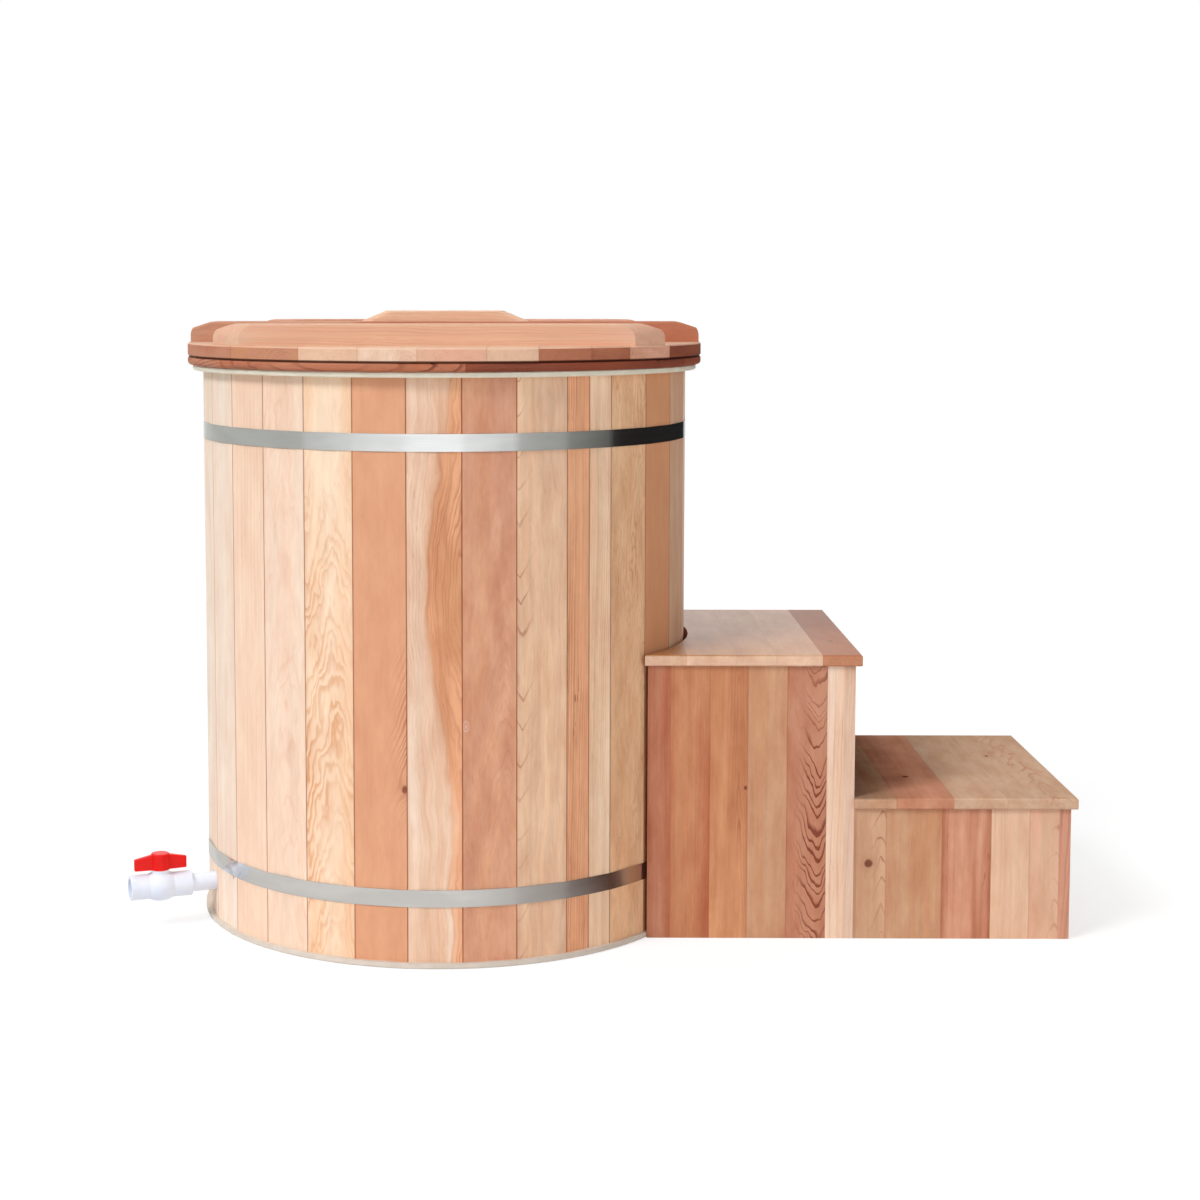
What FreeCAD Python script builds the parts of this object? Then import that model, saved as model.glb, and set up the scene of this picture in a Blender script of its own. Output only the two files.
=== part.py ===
import FreeCAD, Part
import math
import os

# Cold plunge tub: flat cedar staves held in two steel hoops round a moulded liner, with a
# lift-off lid, a quarter-turn drain valve and a free-standing pair of steps.
# Millimetres, +Z up. The origin is the middle of the underside of the tub, +X points to the
# steps and -Y is the front. Bearings are degrees from the front, turning towards +X.

# Staves: flat tongued boards, with one place filled by two narrow closing staves
STAVE_PLACES = 30
TUB_ACROSS_FLATS = 900.0
STAVE_LENGTH = 1006.0
STAVE_THICKNESS = 26.0
STAVE_EDGE_EASE = 0.8
CLOSING_PLACE = 3
TONGUE_LENGTH = 5.0
TONGUE_THICKNESS = 6.0
TONGUE_CLEARANCE = 0.2

# Base and liner: moulded plastic
BASE_THICKNESS = 10.0
BASE_REVEAL = 6.0
BASE_EDGE_ROUND = 3.0
LINER_GAP = 4.0
LINER_WALL = 6.0
LINER_FLOOR = 8.0
LINER_CORNER = 34.0
FLANGE_THICKNESS = 10.0
FLANGE_OVERHANG = 21.0
FLANGE_EDGE_ROUND = 3.0

# Hoops: flat stainless band with two welded lugs drawn together by a bolt at the back
HOOP_WIDTH = 30.0
HOOP_THICKNESS = 1.0
LOWER_HOOP_RISE = 112.0
UPPER_HOOP_DROP = 110.0
LUG_GAP = 24.0
LUG_THICKNESS = 3.0
LUG_HEIGHT = 24.0
LUG_FOOT_LENGTH = 22.0
LUG_FOOT_THICKNESS = 2.0
LUG_BOLT_RISE = 14.0
HOOP_BOLT_DIAMETER = 8.0
HOOP_BOLT_HEX = 13.0
HOOP_BOLT_HEAD = 5.5
HOOP_NUT_THICKNESS = 6.5
HOOP_BOLT_TAIL = 4.0
HOOP_BOLT_CLEARANCE = 0.25
NUT_THREAD_CLEARANCE = 0.05

# Rim: cedar ring glued up from arcs, on top of the liner flange
RIM_ARCS = 6
RIM_FIRST_JOINT = 6.5
RIM_OVERHANG = 30.0
RIM_WIDTH = 74.0
RIM_THICKNESS = 16.0
RIM_EDGE_ROUND = 6.0
RIM_SCREWS_PER_ARC = 2
RIM_SCREW_INSET = 10.0

# Lid: tongued boards under three battens, with a grip block on the middle one. The boards are
# of uneven widths, given from left to right, which share out the width of the lid.
LID_BOARD_SHARES = (120.0, 129.0, 104.0, 101.0, 116.0, 87.0, 90.0, 67.0, 74.0, 72.0)
LID_THICKNESS = 24.0
LID_EDGE_CHAMFER = 2.5
LID_JOINT_EASE = 0.6
BATTEN_WIDTH = 70.0
BATTEN_THICKNESS = 38.0
BATTEN_SPACING = 294.0
BATTEN_INSET = 4.0
BATTEN_BEVEL_LENGTH = 40.0
BATTEN_BEVEL_DEPTH = 13.0
BATTEN_BEVEL_EASE = 40.0
BATTEN_END_ROUND = 26.0
BATTEN_EDGE_ROUND = 4.0
GRIP_LENGTH = 316.0
GRIP_TOP_LENGTH = 220.0
GRIP_WIDTH = 46.0
GRIP_HEIGHT = 20.0
GRIP_CORNER_ROUND = 9.0
GRIP_TOP_ROUND = 3.0
GRIP_SCREW_SPACING = 96.0
GRIP_SCREW_RECESS = 14.0

# Drain: fitting clamped through the liner wall and a pipe out to the valve
DRAIN_BEARING = -69.0
DRAIN_HEIGHT = 74.0
DRAIN_PAD_RADIUS = 38.0
DRAIN_PAD_INNER_RISE = 6.0
DRAIN_PAD_OUTER_RISE = 2.0
DRAIN_FLANGE_RADIUS = 32.0
DRAIN_FLANGE_THICKNESS = 6.0
DRAIN_FLANGE_ROUND = 2.0
DRAIN_GRATE_THICKNESS = 3.0
DRAIN_GRATE_HOLES = 6
DRAIN_GRATE_HOLE = 6.4
DRAIN_GRATE_PITCH_RADIUS = 8.0
DRAIN_GASKET_THICKNESS = 3.0
DRAIN_SHANK_DIAMETER = 42.0
DRAIN_SHANK_TAIL = 4.0
DRAIN_SHANK_CLEARANCE = 0.2
LOCKNUT_HEX = 56.0
LOCKNUT_THICKNESS = 10.0
STAVE_POCKET_ROOM = 3.0
PIPE_DIAMETER = 33.4
PIPE_WALL = 3.4
PIPE_SHOWING = 47.0
PIPE_SHOULDER = 13.0
PIPE_HOLE_CLEARANCE = 0.8
PIPE_SOCKET_CLEARANCE = 0.2

# Valve: moulded body, ball between two seats, and a winged handle on the stem
VALVE_LENGTH = 113.0
VALVE_SOCKET_DIAMETER = 45.6
VALVE_SOCKET_DEPTH = 28.0
VALVE_END_ROUND = 1.5
VALVE_BULGE_DIAMETER = 56.0
VALVE_BULGE_LENGTH = 44.0
VALVE_NECK_DIAMETER = 32.0
VALVE_NECK_HEIGHT = 30.0
BALL_DIAMETER = 40.0
BALL_BORE = 25.0
BALL_ROOM = 1.0
SEAT_WIDTH = 5.0
SEAT_LENGTH = 4.0
SEAT_CLEARANCE = 0.1
STEM_DIAMETER = 14.0
STEM_COLLAR_DIAMETER = 18.0
STEM_COLLAR_THICKNESS = 3.2
STEM_SEAL_THICKNESS = 2.0
STEM_SQUARE = 9.0
STEM_RUNNING_CLEARANCE = 0.08
TANG_THICKNESS = 5.0
TANG_LENGTH = 13.0
TANG_DEPTH = 5.0
TANG_CLEARANCE = 0.2
HANDLE_LENGTH = 96.0
HANDLE_HUB_DIAMETER = 34.0
HANDLE_HUB_HEIGHT = 30.0
HANDLE_HUB_ROUND = 3.0
HANDLE_LIFT = 0.6
HANDLE_WING_ROOT_HEIGHT = 27.0
HANDLE_WING_TIP_HEIGHT = 21.0
HANDLE_WING_ROOT_THICKNESS = 15.0
HANDLE_WING_TIP_THICKNESS = 8.0
HANDLE_WING_ROUND = 2.0
HANDLE_SOCKET_ROOF = 8.0

# Steps: two boxes of glued-up cedar panels on an inside frame
STEP_RISE = 258.0
STEP_GOING = 388.0
UPPER_RISER_REACH = 742.0
STEP_WIDTH = 540.0
STEP_BOARD = 20.0
STEP_NOSING = 11.0
STEP_SIDE_OVERHANG = 8.0
STEP_EDGE_ROUND = 3.0
STEP_TUB_GAP = 1.0
CLEAT = 32.0
CLEAT_TUB_GAP = 2.0

# Wood screws
SCREW_DIAMETER = 4.5
SCREW_HEAD_DIAMETER = 9.0
SCREW_HEAD_HEIGHT = 3.0
SCREW_BITE = 12.0
SCREW_CLEARANCE = 0.1
SCREW_COUNTERBORE = 4.0
STEP_SCREW_FOOT = 60.0
STEP_SCREW_HEAD_ROOM = 100.0
STEP_SCREW_STAGGER = 30.0
STEP_RAIL_SCREW_SPACING = 200.0

# Levels and radii that follow from the sizes above
PLACE_ANGLE = 360.0 / STAVE_PLACES
STAVE_FACE = TUB_ACROSS_FLATS / 2
STAVE_BACK = STAVE_FACE - STAVE_THICKNESS
STAVE_CORNER = STAVE_FACE / math.cos(math.radians(PLACE_ANGLE / 2))
STAVE_TOP = BASE_THICKNESS + STAVE_LENGTH
LOWER_HOOP_HEIGHT = BASE_THICKNESS + LOWER_HOOP_RISE
UPPER_HOOP_HEIGHT = STAVE_TOP - UPPER_HOOP_DROP
BASE_RADIUS = STAVE_CORNER + BASE_REVEAL
LINER_OUTER = STAVE_BACK - LINER_GAP
LINER_INNER = LINER_OUTER - LINER_WALL
FLANGE_TOP = STAVE_TOP + FLANGE_THICKNESS
FLANGE_RADIUS = STAVE_FACE + FLANGE_OVERHANG
RIM_TOP = FLANGE_TOP + RIM_THICKNESS
RIM_RADIUS = STAVE_FACE + RIM_OVERHANG
LID_BOTTOM = RIM_TOP
LID_TOP = LID_BOTTOM + LID_THICKNESS
LID_RADIUS = RIM_RADIUS
BATTEN_TOP = LID_TOP + BATTEN_THICKNESS
DRAIN_PAD_INNER_FACE = LINER_INNER - DRAIN_PAD_INNER_RISE
DRAIN_PAD_OUTER_FACE = LINER_OUTER + DRAIN_PAD_OUTER_RISE
DRAIN_FLANGE_BACK = DRAIN_PAD_INNER_FACE - DRAIN_GASKET_THICKNESS
DRAIN_FLANGE_FRONT = DRAIN_FLANGE_BACK - DRAIN_FLANGE_THICKNESS
DRAIN_SHANK_END = DRAIN_PAD_OUTER_FACE + LOCKNUT_THICKNESS + DRAIN_SHANK_TAIL
PIPE_RADIUS = PIPE_DIAMETER / 2
PIPE_START = DRAIN_FLANGE_FRONT + PIPE_SHOULDER
VALVE_START = STAVE_FACE + PIPE_SHOWING
VALVE_MIDDLE = VALVE_START + VALVE_LENGTH / 2
BALL_RADIUS = BALL_DIAMETER / 2
NECK_TOP = DRAIN_HEIGHT + VALVE_NECK_HEIGHT
HANDLE_BOTTOM = NECK_TOP + HANDLE_LIFT
STEP_CLEAR_RADIUS = BASE_RADIUS + STEP_TUB_GAP
STEP_OUTSIDE = STEP_WIDTH / 2
STEP_INSIDE = STEP_OUTSIDE - STEP_BOARD
LOWER_RISER_REACH = UPPER_RISER_REACH + STEP_GOING
UPPER_TREAD_TOP = 2 * STEP_RISE
LOWER_TREAD_TOP = STEP_RISE
UPPER_TREAD_UNDER = UPPER_TREAD_TOP - STEP_BOARD
LOWER_TREAD_UNDER = LOWER_TREAD_TOP - STEP_BOARD

Vector = FreeCAD.Vector
ORIGIN = Vector(0, 0, 0)
UP = Vector(0, 0, 1)
ALONG_X = Vector(1, 0, 0)
ALONG_Y = Vector(0, 1, 0)
# How far a cutting shape runs past the faces that it cuts
PAST = 5.0


def block(x_limits, y_limits, z_limits):
    """Box between three pairs of limits."""
    corner = Vector(x_limits[0], y_limits[0], z_limits[0])
    length = x_limits[1] - x_limits[0]
    width = y_limits[1] - y_limits[0]
    height = z_limits[1] - z_limits[0]
    return Part.makeBox(length, width, height, corner)


def rod(radius, start, end):
    """Cylinder between two points."""
    along = end - start
    return Part.makeCylinder(radius, along.Length, start, along)


def swept_outline(points, travel):
    """Prism: a closed outline of straight edges carried along a vector."""
    outline = Part.makePolygon(points + points[:1])
    return Part.Face(outline).extrude(travel)


def level_circles(shape, level):
    """The circular edges of a shape that lie at one height."""
    circles = []
    for edge in shape.Edges:
        flat = abs(edge.BoundBox.ZMin - level) < 0.001 and abs(edge.BoundBox.ZMax - level) < 0.001
        if flat and edge.Curve.TypeId == "Part::GeomCircle":
            circles.append(edge)
    return circles


def disc(radius, bottom, top, bottom_round=0.0, top_round=0.0):
    """Upright disc on the tub's axis, with rounded edges."""
    shape = Part.makeCylinder(radius, top - bottom, Vector(0, 0, bottom))
    if bottom_round > 0:
        shape = shape.makeFillet(bottom_round, level_circles(shape, bottom))
    if top_round > 0:
        shape = shape.makeFillet(top_round, level_circles(shape, top))
    return shape


def hexagon(across_flats, start, travel, first_corner):
    """Hexagonal prism from a point along a vector, with one corner towards a direction."""
    corner = first_corner * (across_flats / math.sqrt(3))
    points = []
    for side in range(6):
        turn = FreeCAD.Rotation(travel, 60 * side)
        points.append(start + turn.multVec(corner))
    return swept_outline(points, travel)


def outward(bearing):
    """Level direction from the tub's axis at a bearing."""
    angle = math.radians(bearing)
    return Vector(math.sin(angle), -math.cos(angle), 0)


def sideways(bearing):
    """Level direction square to outward, towards growing bearings."""
    angle = math.radians(bearing)
    return Vector(math.cos(angle), math.sin(angle), 0)


def at_bearing(shape, bearing):
    """Copy of a shape built along +X, turned to point at a bearing."""
    turned = shape.copy()
    turned.rotate(ORIGIN, UP, bearing - 90)
    return turned


def both_sides(shapes):
    """The shapes and their mirror images across the middle plane of the steps."""
    mirrored = [shape.mirror(ORIGIN, ALONG_Y) for shape in shapes]
    return shapes + mirrored


def without(shape, cutters):
    """A shape less every cutter that reaches it."""
    near = [cutter for cutter in cutters if shape.BoundBox.intersect(cutter.BoundBox)]
    if not near:
        return shape
    return shape.cut(near)


def pan_screw(seat, direction, length):
    """Pan-headed screw: the head stands on the seat and the shank runs on along the direction."""
    shank = rod(SCREW_DIAMETER / 2, seat, seat + direction * length)
    head = rod(SCREW_HEAD_DIAMETER / 2, seat - direction * SCREW_HEAD_HEIGHT, seat)
    return head.fuse(shank).removeSplitter()


def screw_hole(seat, direction, length):
    """Room for the shank of a screw."""
    end = seat + direction * (length + SCREW_CLEARANCE)
    return rod(SCREW_DIAMETER / 2 + SCREW_CLEARANCE, seat, end)


def screw_counterbore(seat, direction, depth):
    """Room for the head of a screw that is sunk below a face."""
    start = seat - direction * (depth + PAST)
    return rod(SCREW_HEAD_DIAMETER / 2 + SCREW_CLEARANCE, start, seat)


def stave(facing, start, end):
    """Flat stave of the place that faces a bearing, between the joints at two bearings."""

    def on_joint(bearing, distance):
        lean = math.cos(math.radians(bearing - facing))
        return outward(bearing) * (distance / lean)

    middle = STAVE_FACE - STAVE_THICKNESS / 2
    groove_half = TONGUE_THICKNESS / 2 + TONGUE_CLEARANCE
    groove_depth = TONGUE_LENGTH + TONGUE_CLEARANCE
    ease = sideways(facing) * STAVE_EDGE_EASE
    tongue_outer = on_joint(end, middle) + outward(end) * (TONGUE_THICKNESS / 2)
    tongue_inner = on_joint(end, middle) - outward(end) * (TONGUE_THICKNESS / 2)
    groove_outer = on_joint(start, middle) + outward(start) * groove_half
    groove_inner = on_joint(start, middle) - outward(start) * groove_half
    outline = [
        on_joint(start, STAVE_FACE - STAVE_EDGE_EASE),
        on_joint(start, STAVE_FACE) + ease,
        on_joint(end, STAVE_FACE) - ease,
        on_joint(end, STAVE_FACE - STAVE_EDGE_EASE),
        tongue_outer,
        tongue_outer + sideways(end) * TONGUE_LENGTH,
        tongue_inner + sideways(end) * TONGUE_LENGTH,
        tongue_inner,
        on_joint(end, STAVE_BACK),
        on_joint(start, STAVE_BACK),
        groove_inner,
        groove_inner + sideways(start) * groove_depth,
        groove_outer + sideways(start) * groove_depth,
        groove_outer,
    ]
    foot = [point + UP * BASE_THICKNESS for point in outline]
    return swept_outline(foot, UP * STAVE_LENGTH)


def drain_passage():
    """Pocket behind the staves for the locknut, and the hole for the pipe."""
    pocket_radius = LOCKNUT_HEX / math.sqrt(3) + STAVE_POCKET_ROOM
    pocket_end = DRAIN_SHANK_END + STAVE_POCKET_ROOM
    hole_radius = PIPE_RADIUS + PIPE_HOLE_CLEARANCE
    pocket = rod(pocket_radius, on_drain(LINER_OUTER), on_drain(pocket_end))
    hole = rod(hole_radius, on_drain(LINER_OUTER), on_drain(STAVE_CORNER + PAST))
    return at_bearing(pocket.fuse(hole), DRAIN_BEARING)


def staves():
    """One entry for each place in the ring; the closing place holds two narrow staves."""
    passage = drain_passage()
    places = {}
    for place in range(STAVE_PLACES):
        facing = place * PLACE_ANGLE
        joints = [facing - PLACE_ANGLE / 2, facing + PLACE_ANGLE / 2]
        if place == CLOSING_PLACE:
            joints.insert(1, facing)
        boards = [stave(facing, start, end) for start, end in zip(joints, joints[1:])]
        fitted = [without(board, [passage]) for board in boards]
        places[f"stave_{place + 1:02d}"] = Part.makeCompound(fitted)
    return places


def base_plate():
    """Moulded plate that the staves and the liner stand on."""
    return disc(BASE_RADIUS, 0, BASE_THICKNESS, BASE_EDGE_ROUND)


def liner():
    """Moulded tub with a flange over the stave tops and a flat pad for the drain fitting."""
    outer_corner = LINER_CORNER + LINER_WALL
    shell = disc(LINER_OUTER, BASE_THICKNESS, FLANGE_TOP, outer_corner)
    flange = disc(FLANGE_RADIUS, STAVE_TOP, FLANGE_TOP, FLANGE_EDGE_ROUND, FLANGE_EDGE_ROUND)
    cavity = disc(LINER_INNER, BASE_THICKNESS + LINER_FLOOR, FLANGE_TOP + PAST, LINER_CORNER)
    pad = rod(DRAIN_PAD_RADIUS, on_drain(DRAIN_PAD_INNER_FACE), on_drain(DRAIN_PAD_OUTER_FACE))
    hole_radius = DRAIN_SHANK_DIAMETER / 2 + DRAIN_SHANK_CLEARANCE
    hole = rod(hole_radius, on_drain(DRAIN_FLANGE_FRONT), on_drain(DRAIN_SHANK_END))
    wall = shell.fuse(flange).cut(cavity)
    padded = wall.fuse(at_bearing(pad, DRAIN_BEARING))
    drilled = padded.cut(at_bearing(hole, DRAIN_BEARING))
    cutters = []
    for screw in rim_screw_places():
        cutters.append(screw_hole(*screw))
        cutters.append(screw_counterbore(screw[0], screw[1], SCREW_COUNTERBORE))
    return without(drilled, cutters)


def facet_prism(distance, bottom, top):
    """Upright prism with one flat for each stave place."""
    reach = distance / math.cos(math.radians(PLACE_ANGLE / 2))
    corners = []
    for place in range(STAVE_PLACES):
        corner = outward((place + 0.5) * PLACE_ANGLE) * reach
        corners.append(corner + UP * bottom)
    return swept_outline(corners, UP * (top - bottom))


def hoop_back_bearing():
    """Bearing of the stave place at the back, where the hoops are drawn together."""
    return (STAVE_PLACES // 2) * PLACE_ANGLE


def hoop(height):
    """Band bent over the staves, open at the back between two welded lugs."""
    z_limits = (height - HOOP_WIDTH / 2, height + HOOP_WIDTH / 2)
    face = STAVE_FACE + HOOP_THICKNESS
    lug_tip = face + LUG_HEIGHT
    lug_end = LUG_GAP / 2 + LUG_THICKNESS
    foot_end = lug_end + LUG_FOOT_LENGTH
    foot_face = face + LUG_FOOT_THICKNESS
    band = facet_prism(face, *z_limits).cut(facet_prism(STAVE_FACE, *z_limits))
    gap = block((STAVE_FACE - PAST, face + PAST), (-LUG_GAP / 2, LUG_GAP / 2), z_limits)
    bolt_line = Vector(face + LUG_BOLT_RISE, 0, height)
    bolt_hole_radius = HOOP_BOLT_DIAMETER / 2 + HOOP_BOLT_CLEARANCE
    reach = ALONG_Y * (lug_end + PAST)
    bolt_hole = rod(bolt_hole_radius, bolt_line - reach, bolt_line + reach)
    lugs = []
    for side in (-1, 1):
        upright_limits = sorted((side * LUG_GAP / 2, side * lug_end))
        foot_limits = sorted((side * LUG_GAP / 2, side * foot_end))
        lugs.append(block((face, lug_tip), upright_limits, z_limits))
        lugs.append(block((face, foot_face), foot_limits, z_limits))
    back = hoop_back_bearing()
    open_band = band.cut(at_bearing(gap, back))
    welded = open_band.fuse([at_bearing(lug, back) for lug in lugs])
    return welded.cut(at_bearing(bolt_hole, back)).removeSplitter()


def hoop_bolt(height):
    """Bolt and nut through the two lugs of a hoop."""
    line = Vector(STAVE_FACE + HOOP_THICKNESS + LUG_BOLT_RISE, 0, height)
    lug_end = LUG_GAP / 2 + LUG_THICKNESS
    head_seat = line - ALONG_Y * lug_end
    nut_seat = line + ALONG_Y * lug_end
    nut_travel = ALONG_Y * HOOP_NUT_THICKNESS
    shank_end = nut_seat + nut_travel + ALONG_Y * HOOP_BOLT_TAIL
    head_start = head_seat - ALONG_Y * HOOP_BOLT_HEAD
    head = hexagon(HOOP_BOLT_HEX, head_start, ALONG_Y * HOOP_BOLT_HEAD, UP)
    shank = rod(HOOP_BOLT_DIAMETER / 2, head_seat, shank_end)
    nut_bore = rod(HOOP_BOLT_DIAMETER / 2 + NUT_THREAD_CLEARANCE, head_seat, shank_end)
    nut = hexagon(HOOP_BOLT_HEX, nut_seat, nut_travel, UP).cut(nut_bore)
    back = hoop_back_bearing()
    return [at_bearing(head.fuse(shank), back), at_bearing(nut, back)]


def rim_screw_places():
    """Screws sunk in the underside of the flange, up into the rim: seat, direction and length."""
    radius = FLANGE_RADIUS - RIM_SCREW_INSET
    count = RIM_ARCS * RIM_SCREWS_PER_ARC
    sunk = UP * (STAVE_TOP + SCREW_COUNTERBORE)
    length = FLANGE_THICKNESS - SCREW_COUNTERBORE + SCREW_BITE
    places = []
    for index in range(count):
        bearing = RIM_FIRST_JOINT + (index + 0.5) * 360.0 / count
        places.append((outward(bearing) * radius + sunk, UP, length))
    return places


def rim_ring():
    """Ring of cedar arcs, rounded along its edges and cut apart at the glue joints."""
    ring = disc(RIM_RADIUS, FLANGE_TOP, RIM_TOP).cut(
        disc(RIM_RADIUS - RIM_WIDTH, FLANGE_TOP - PAST, RIM_TOP + PAST)
    )
    for level in (FLANGE_TOP, RIM_TOP):
        ring = ring.makeFillet(RIM_EDGE_ROUND, level_circles(ring, level))
    ring = without(ring, [screw_hole(*screw) for screw in rim_screw_places()])
    turn = 360.0 / RIM_ARCS
    reach = (RIM_RADIUS + PAST) / math.cos(math.radians(turn / 4))
    arcs = []
    for index in range(RIM_ARCS):
        start = RIM_FIRST_JOINT + index * turn
        fan = [start, start + turn / 4, start + turn / 2, start + 3 * turn / 4, start + turn]
        rim_points = [outward(bearing) * reach for bearing in fan]
        sector = [point + UP * FLANGE_TOP for point in [ORIGIN] + rim_points]
        arcs.append(ring.common(swept_outline(sector, UP * RIM_THICKNESS)))
    return Part.makeCompound(arcs)


def lid_board_edges():
    """The left and right edge of each board on the face of the lid."""
    width_of_share = 2 * LID_RADIUS / sum(LID_BOARD_SHARES)
    edges = []
    left = -LID_RADIUS
    for share in LID_BOARD_SHARES:
        right = left + share * width_of_share
        edges.append((left, right))
        left = right
    return edges


def lid_board(index):
    """Board of the lid, tongued to its neighbours and cut to the round."""
    left, right = lid_board_edges()[index]
    last = len(LID_BOARD_SHARES) - 1
    if index == 0:
        left -= PAST
    if index == last:
        right += PAST
    middle = (LID_BOTTOM + LID_TOP) / 2
    tongue_half = TONGUE_THICKNESS / 2
    groove_half = tongue_half + TONGUE_CLEARANCE
    groove_end = left + TONGUE_LENGTH + TONGUE_CLEARANCE
    section = [(left, LID_BOTTOM), (right, LID_BOTTOM)]
    if index < last:
        section += [(right, middle - tongue_half), (right + TONGUE_LENGTH, middle - tongue_half)]
        section += [(right + TONGUE_LENGTH, middle + tongue_half), (right, middle + tongue_half)]
    section += [(right, LID_TOP - LID_JOINT_EASE), (right - LID_JOINT_EASE, LID_TOP)]
    section += [(left + LID_JOINT_EASE, LID_TOP), (left, LID_TOP - LID_JOINT_EASE)]
    if index > 0:
        section += [(left, middle + groove_half), (groove_end, middle + groove_half)]
        section += [(groove_end, middle - groove_half), (left, middle - groove_half)]
    front = [Vector(x, -LID_RADIUS, z) for x, z in section]
    plank = swept_outline(front, ALONG_Y * (2 * LID_RADIUS))
    round_lid = disc(LID_RADIUS, LID_BOTTOM, LID_TOP)
    rims = level_circles(round_lid, LID_BOTTOM) + level_circles(round_lid, LID_TOP)
    return plank.common(round_lid.makeChamfer(LID_EDGE_CHAMFER, rims))


def batten_places():
    """Where the middle line of each batten crosses the lid, from front to back."""
    return {"front": -BATTEN_SPACING, "middle": 0.0, "back": BATTEN_SPACING}


def lid_screw_places():
    """Screws from under each board up into each batten that crosses it."""
    places = []
    sunk = UP * (LID_BOTTOM + SCREW_COUNTERBORE)
    length = LID_THICKNESS - SCREW_COUNTERBORE + SCREW_BITE
    for crossing in batten_places().values():
        for left, right in lid_board_edges():
            x = (left + right) / 2
            if math.hypot(x, crossing) < LID_RADIUS - BATTEN_INSET - BATTEN_END_ROUND:
                places.append((Vector(x, crossing, 0) + sunk, UP, length))
    return places


def grip_screw_places():
    """Two screws from under the middle batten up into the grip."""
    seat = UP * (LID_TOP + GRIP_SCREW_RECESS)
    length = BATTEN_THICKNESS - GRIP_SCREW_RECESS + SCREW_BITE
    offset = ALONG_X * (GRIP_SCREW_SPACING / 2)
    return [(seat - offset, UP, length), (seat + offset, UP, length)]


def lid_boards():
    """All boards of the lid, drilled for the screws."""
    cutters = []
    for screw in lid_screw_places():
        cutters.append(screw_hole(*screw))
        cutters.append(screw_counterbore(screw[0], screw[1], SCREW_COUNTERBORE))
    boards = [lid_board(index) for index in range(len(LID_BOARD_SHARES))]
    return Part.makeCompound([without(board, cutters) for board in boards])


def bevelled_bar(crossing):
    """Bar of a batten before it is cut to the round, sloping down on top towards its ends."""
    end_radius = LID_RADIUS - BATTEN_INSET
    nearest = max(abs(crossing) - BATTEN_WIDTH / 2, 0.0)
    reach = math.sqrt(end_radius ** 2 - nearest ** 2)
    end = reach + PAST
    end_level = BATTEN_TOP - BATTEN_BEVEL_DEPTH * (1 + PAST / BATTEN_BEVEL_LENGTH)
    bevel_start = reach - BATTEN_BEVEL_LENGTH
    section = [
        (-end, LID_TOP),
        (end, LID_TOP),
        (end, end_level),
        (bevel_start, BATTEN_TOP),
        (-bevel_start, BATTEN_TOP),
        (-end, end_level),
    ]
    front = [Vector(x, crossing - BATTEN_WIDTH / 2, z) for x, z in section]
    bar = swept_outline(front, ALONG_Y * BATTEN_WIDTH)
    top_level = BATTEN_TOP - 0.001
    creases = []
    for edge in bar.Edges:
        if edge.BoundBox.ZMin > top_level and edge.BoundBox.YLength > BATTEN_WIDTH / 2:
            creases.append(edge)
    eased = bar.makeFillet(BATTEN_BEVEL_EASE, creases)
    long_edges = []
    for edge in eased.Edges:
        if edge.BoundBox.ZMin > end_level - 0.001 and edge.BoundBox.YLength < 0.001:
            long_edges.append(edge)
    return eased.makeFillet(BATTEN_EDGE_ROUND, long_edges)


def batten(crossing):
    """Bar across the boards, with ends that follow the round of the lid and roll over on top."""
    eased = bevelled_bar(crossing)
    ends = disc(LID_RADIUS - BATTEN_INSET, LID_TOP, BATTEN_TOP, 0.0, BATTEN_END_ROUND)
    cutters = [screw_hole(*screw) for screw in lid_screw_places() + grip_screw_places()]
    for screw in grip_screw_places():
        cutters.append(screw_counterbore(screw[0], screw[1], GRIP_SCREW_RECESS))
    return without(eased.common(ends), cutters)


def lid_grip():
    """Solid grip block on the middle batten, with sloping ends."""
    section = [
        (-GRIP_LENGTH / 2, BATTEN_TOP),
        (GRIP_LENGTH / 2, BATTEN_TOP),
        (GRIP_TOP_LENGTH / 2, BATTEN_TOP + GRIP_HEIGHT),
        (-GRIP_TOP_LENGTH / 2, BATTEN_TOP + GRIP_HEIGHT),
    ]
    front = [Vector(x, -GRIP_WIDTH / 2, z) for x, z in section]
    bar = swept_outline(front, ALONG_Y * GRIP_WIDTH)
    corners = [edge for edge in bar.Edges if edge.BoundBox.ZLength > GRIP_HEIGHT / 2]
    rounded = bar.makeFillet(GRIP_CORNER_ROUND, corners)
    top_level = BATTEN_TOP + GRIP_HEIGHT - 0.001
    top_edges = [edge for edge in rounded.Edges if edge.BoundBox.ZMin > top_level]
    finished = rounded.makeFillet(GRIP_TOP_ROUND, top_edges)
    return without(finished, [screw_hole(*screw) for screw in grip_screw_places()])


def on_drain(distance):
    """Point on the drain's centre line, built along +X."""
    return Vector(distance, 0, DRAIN_HEIGHT)


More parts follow.
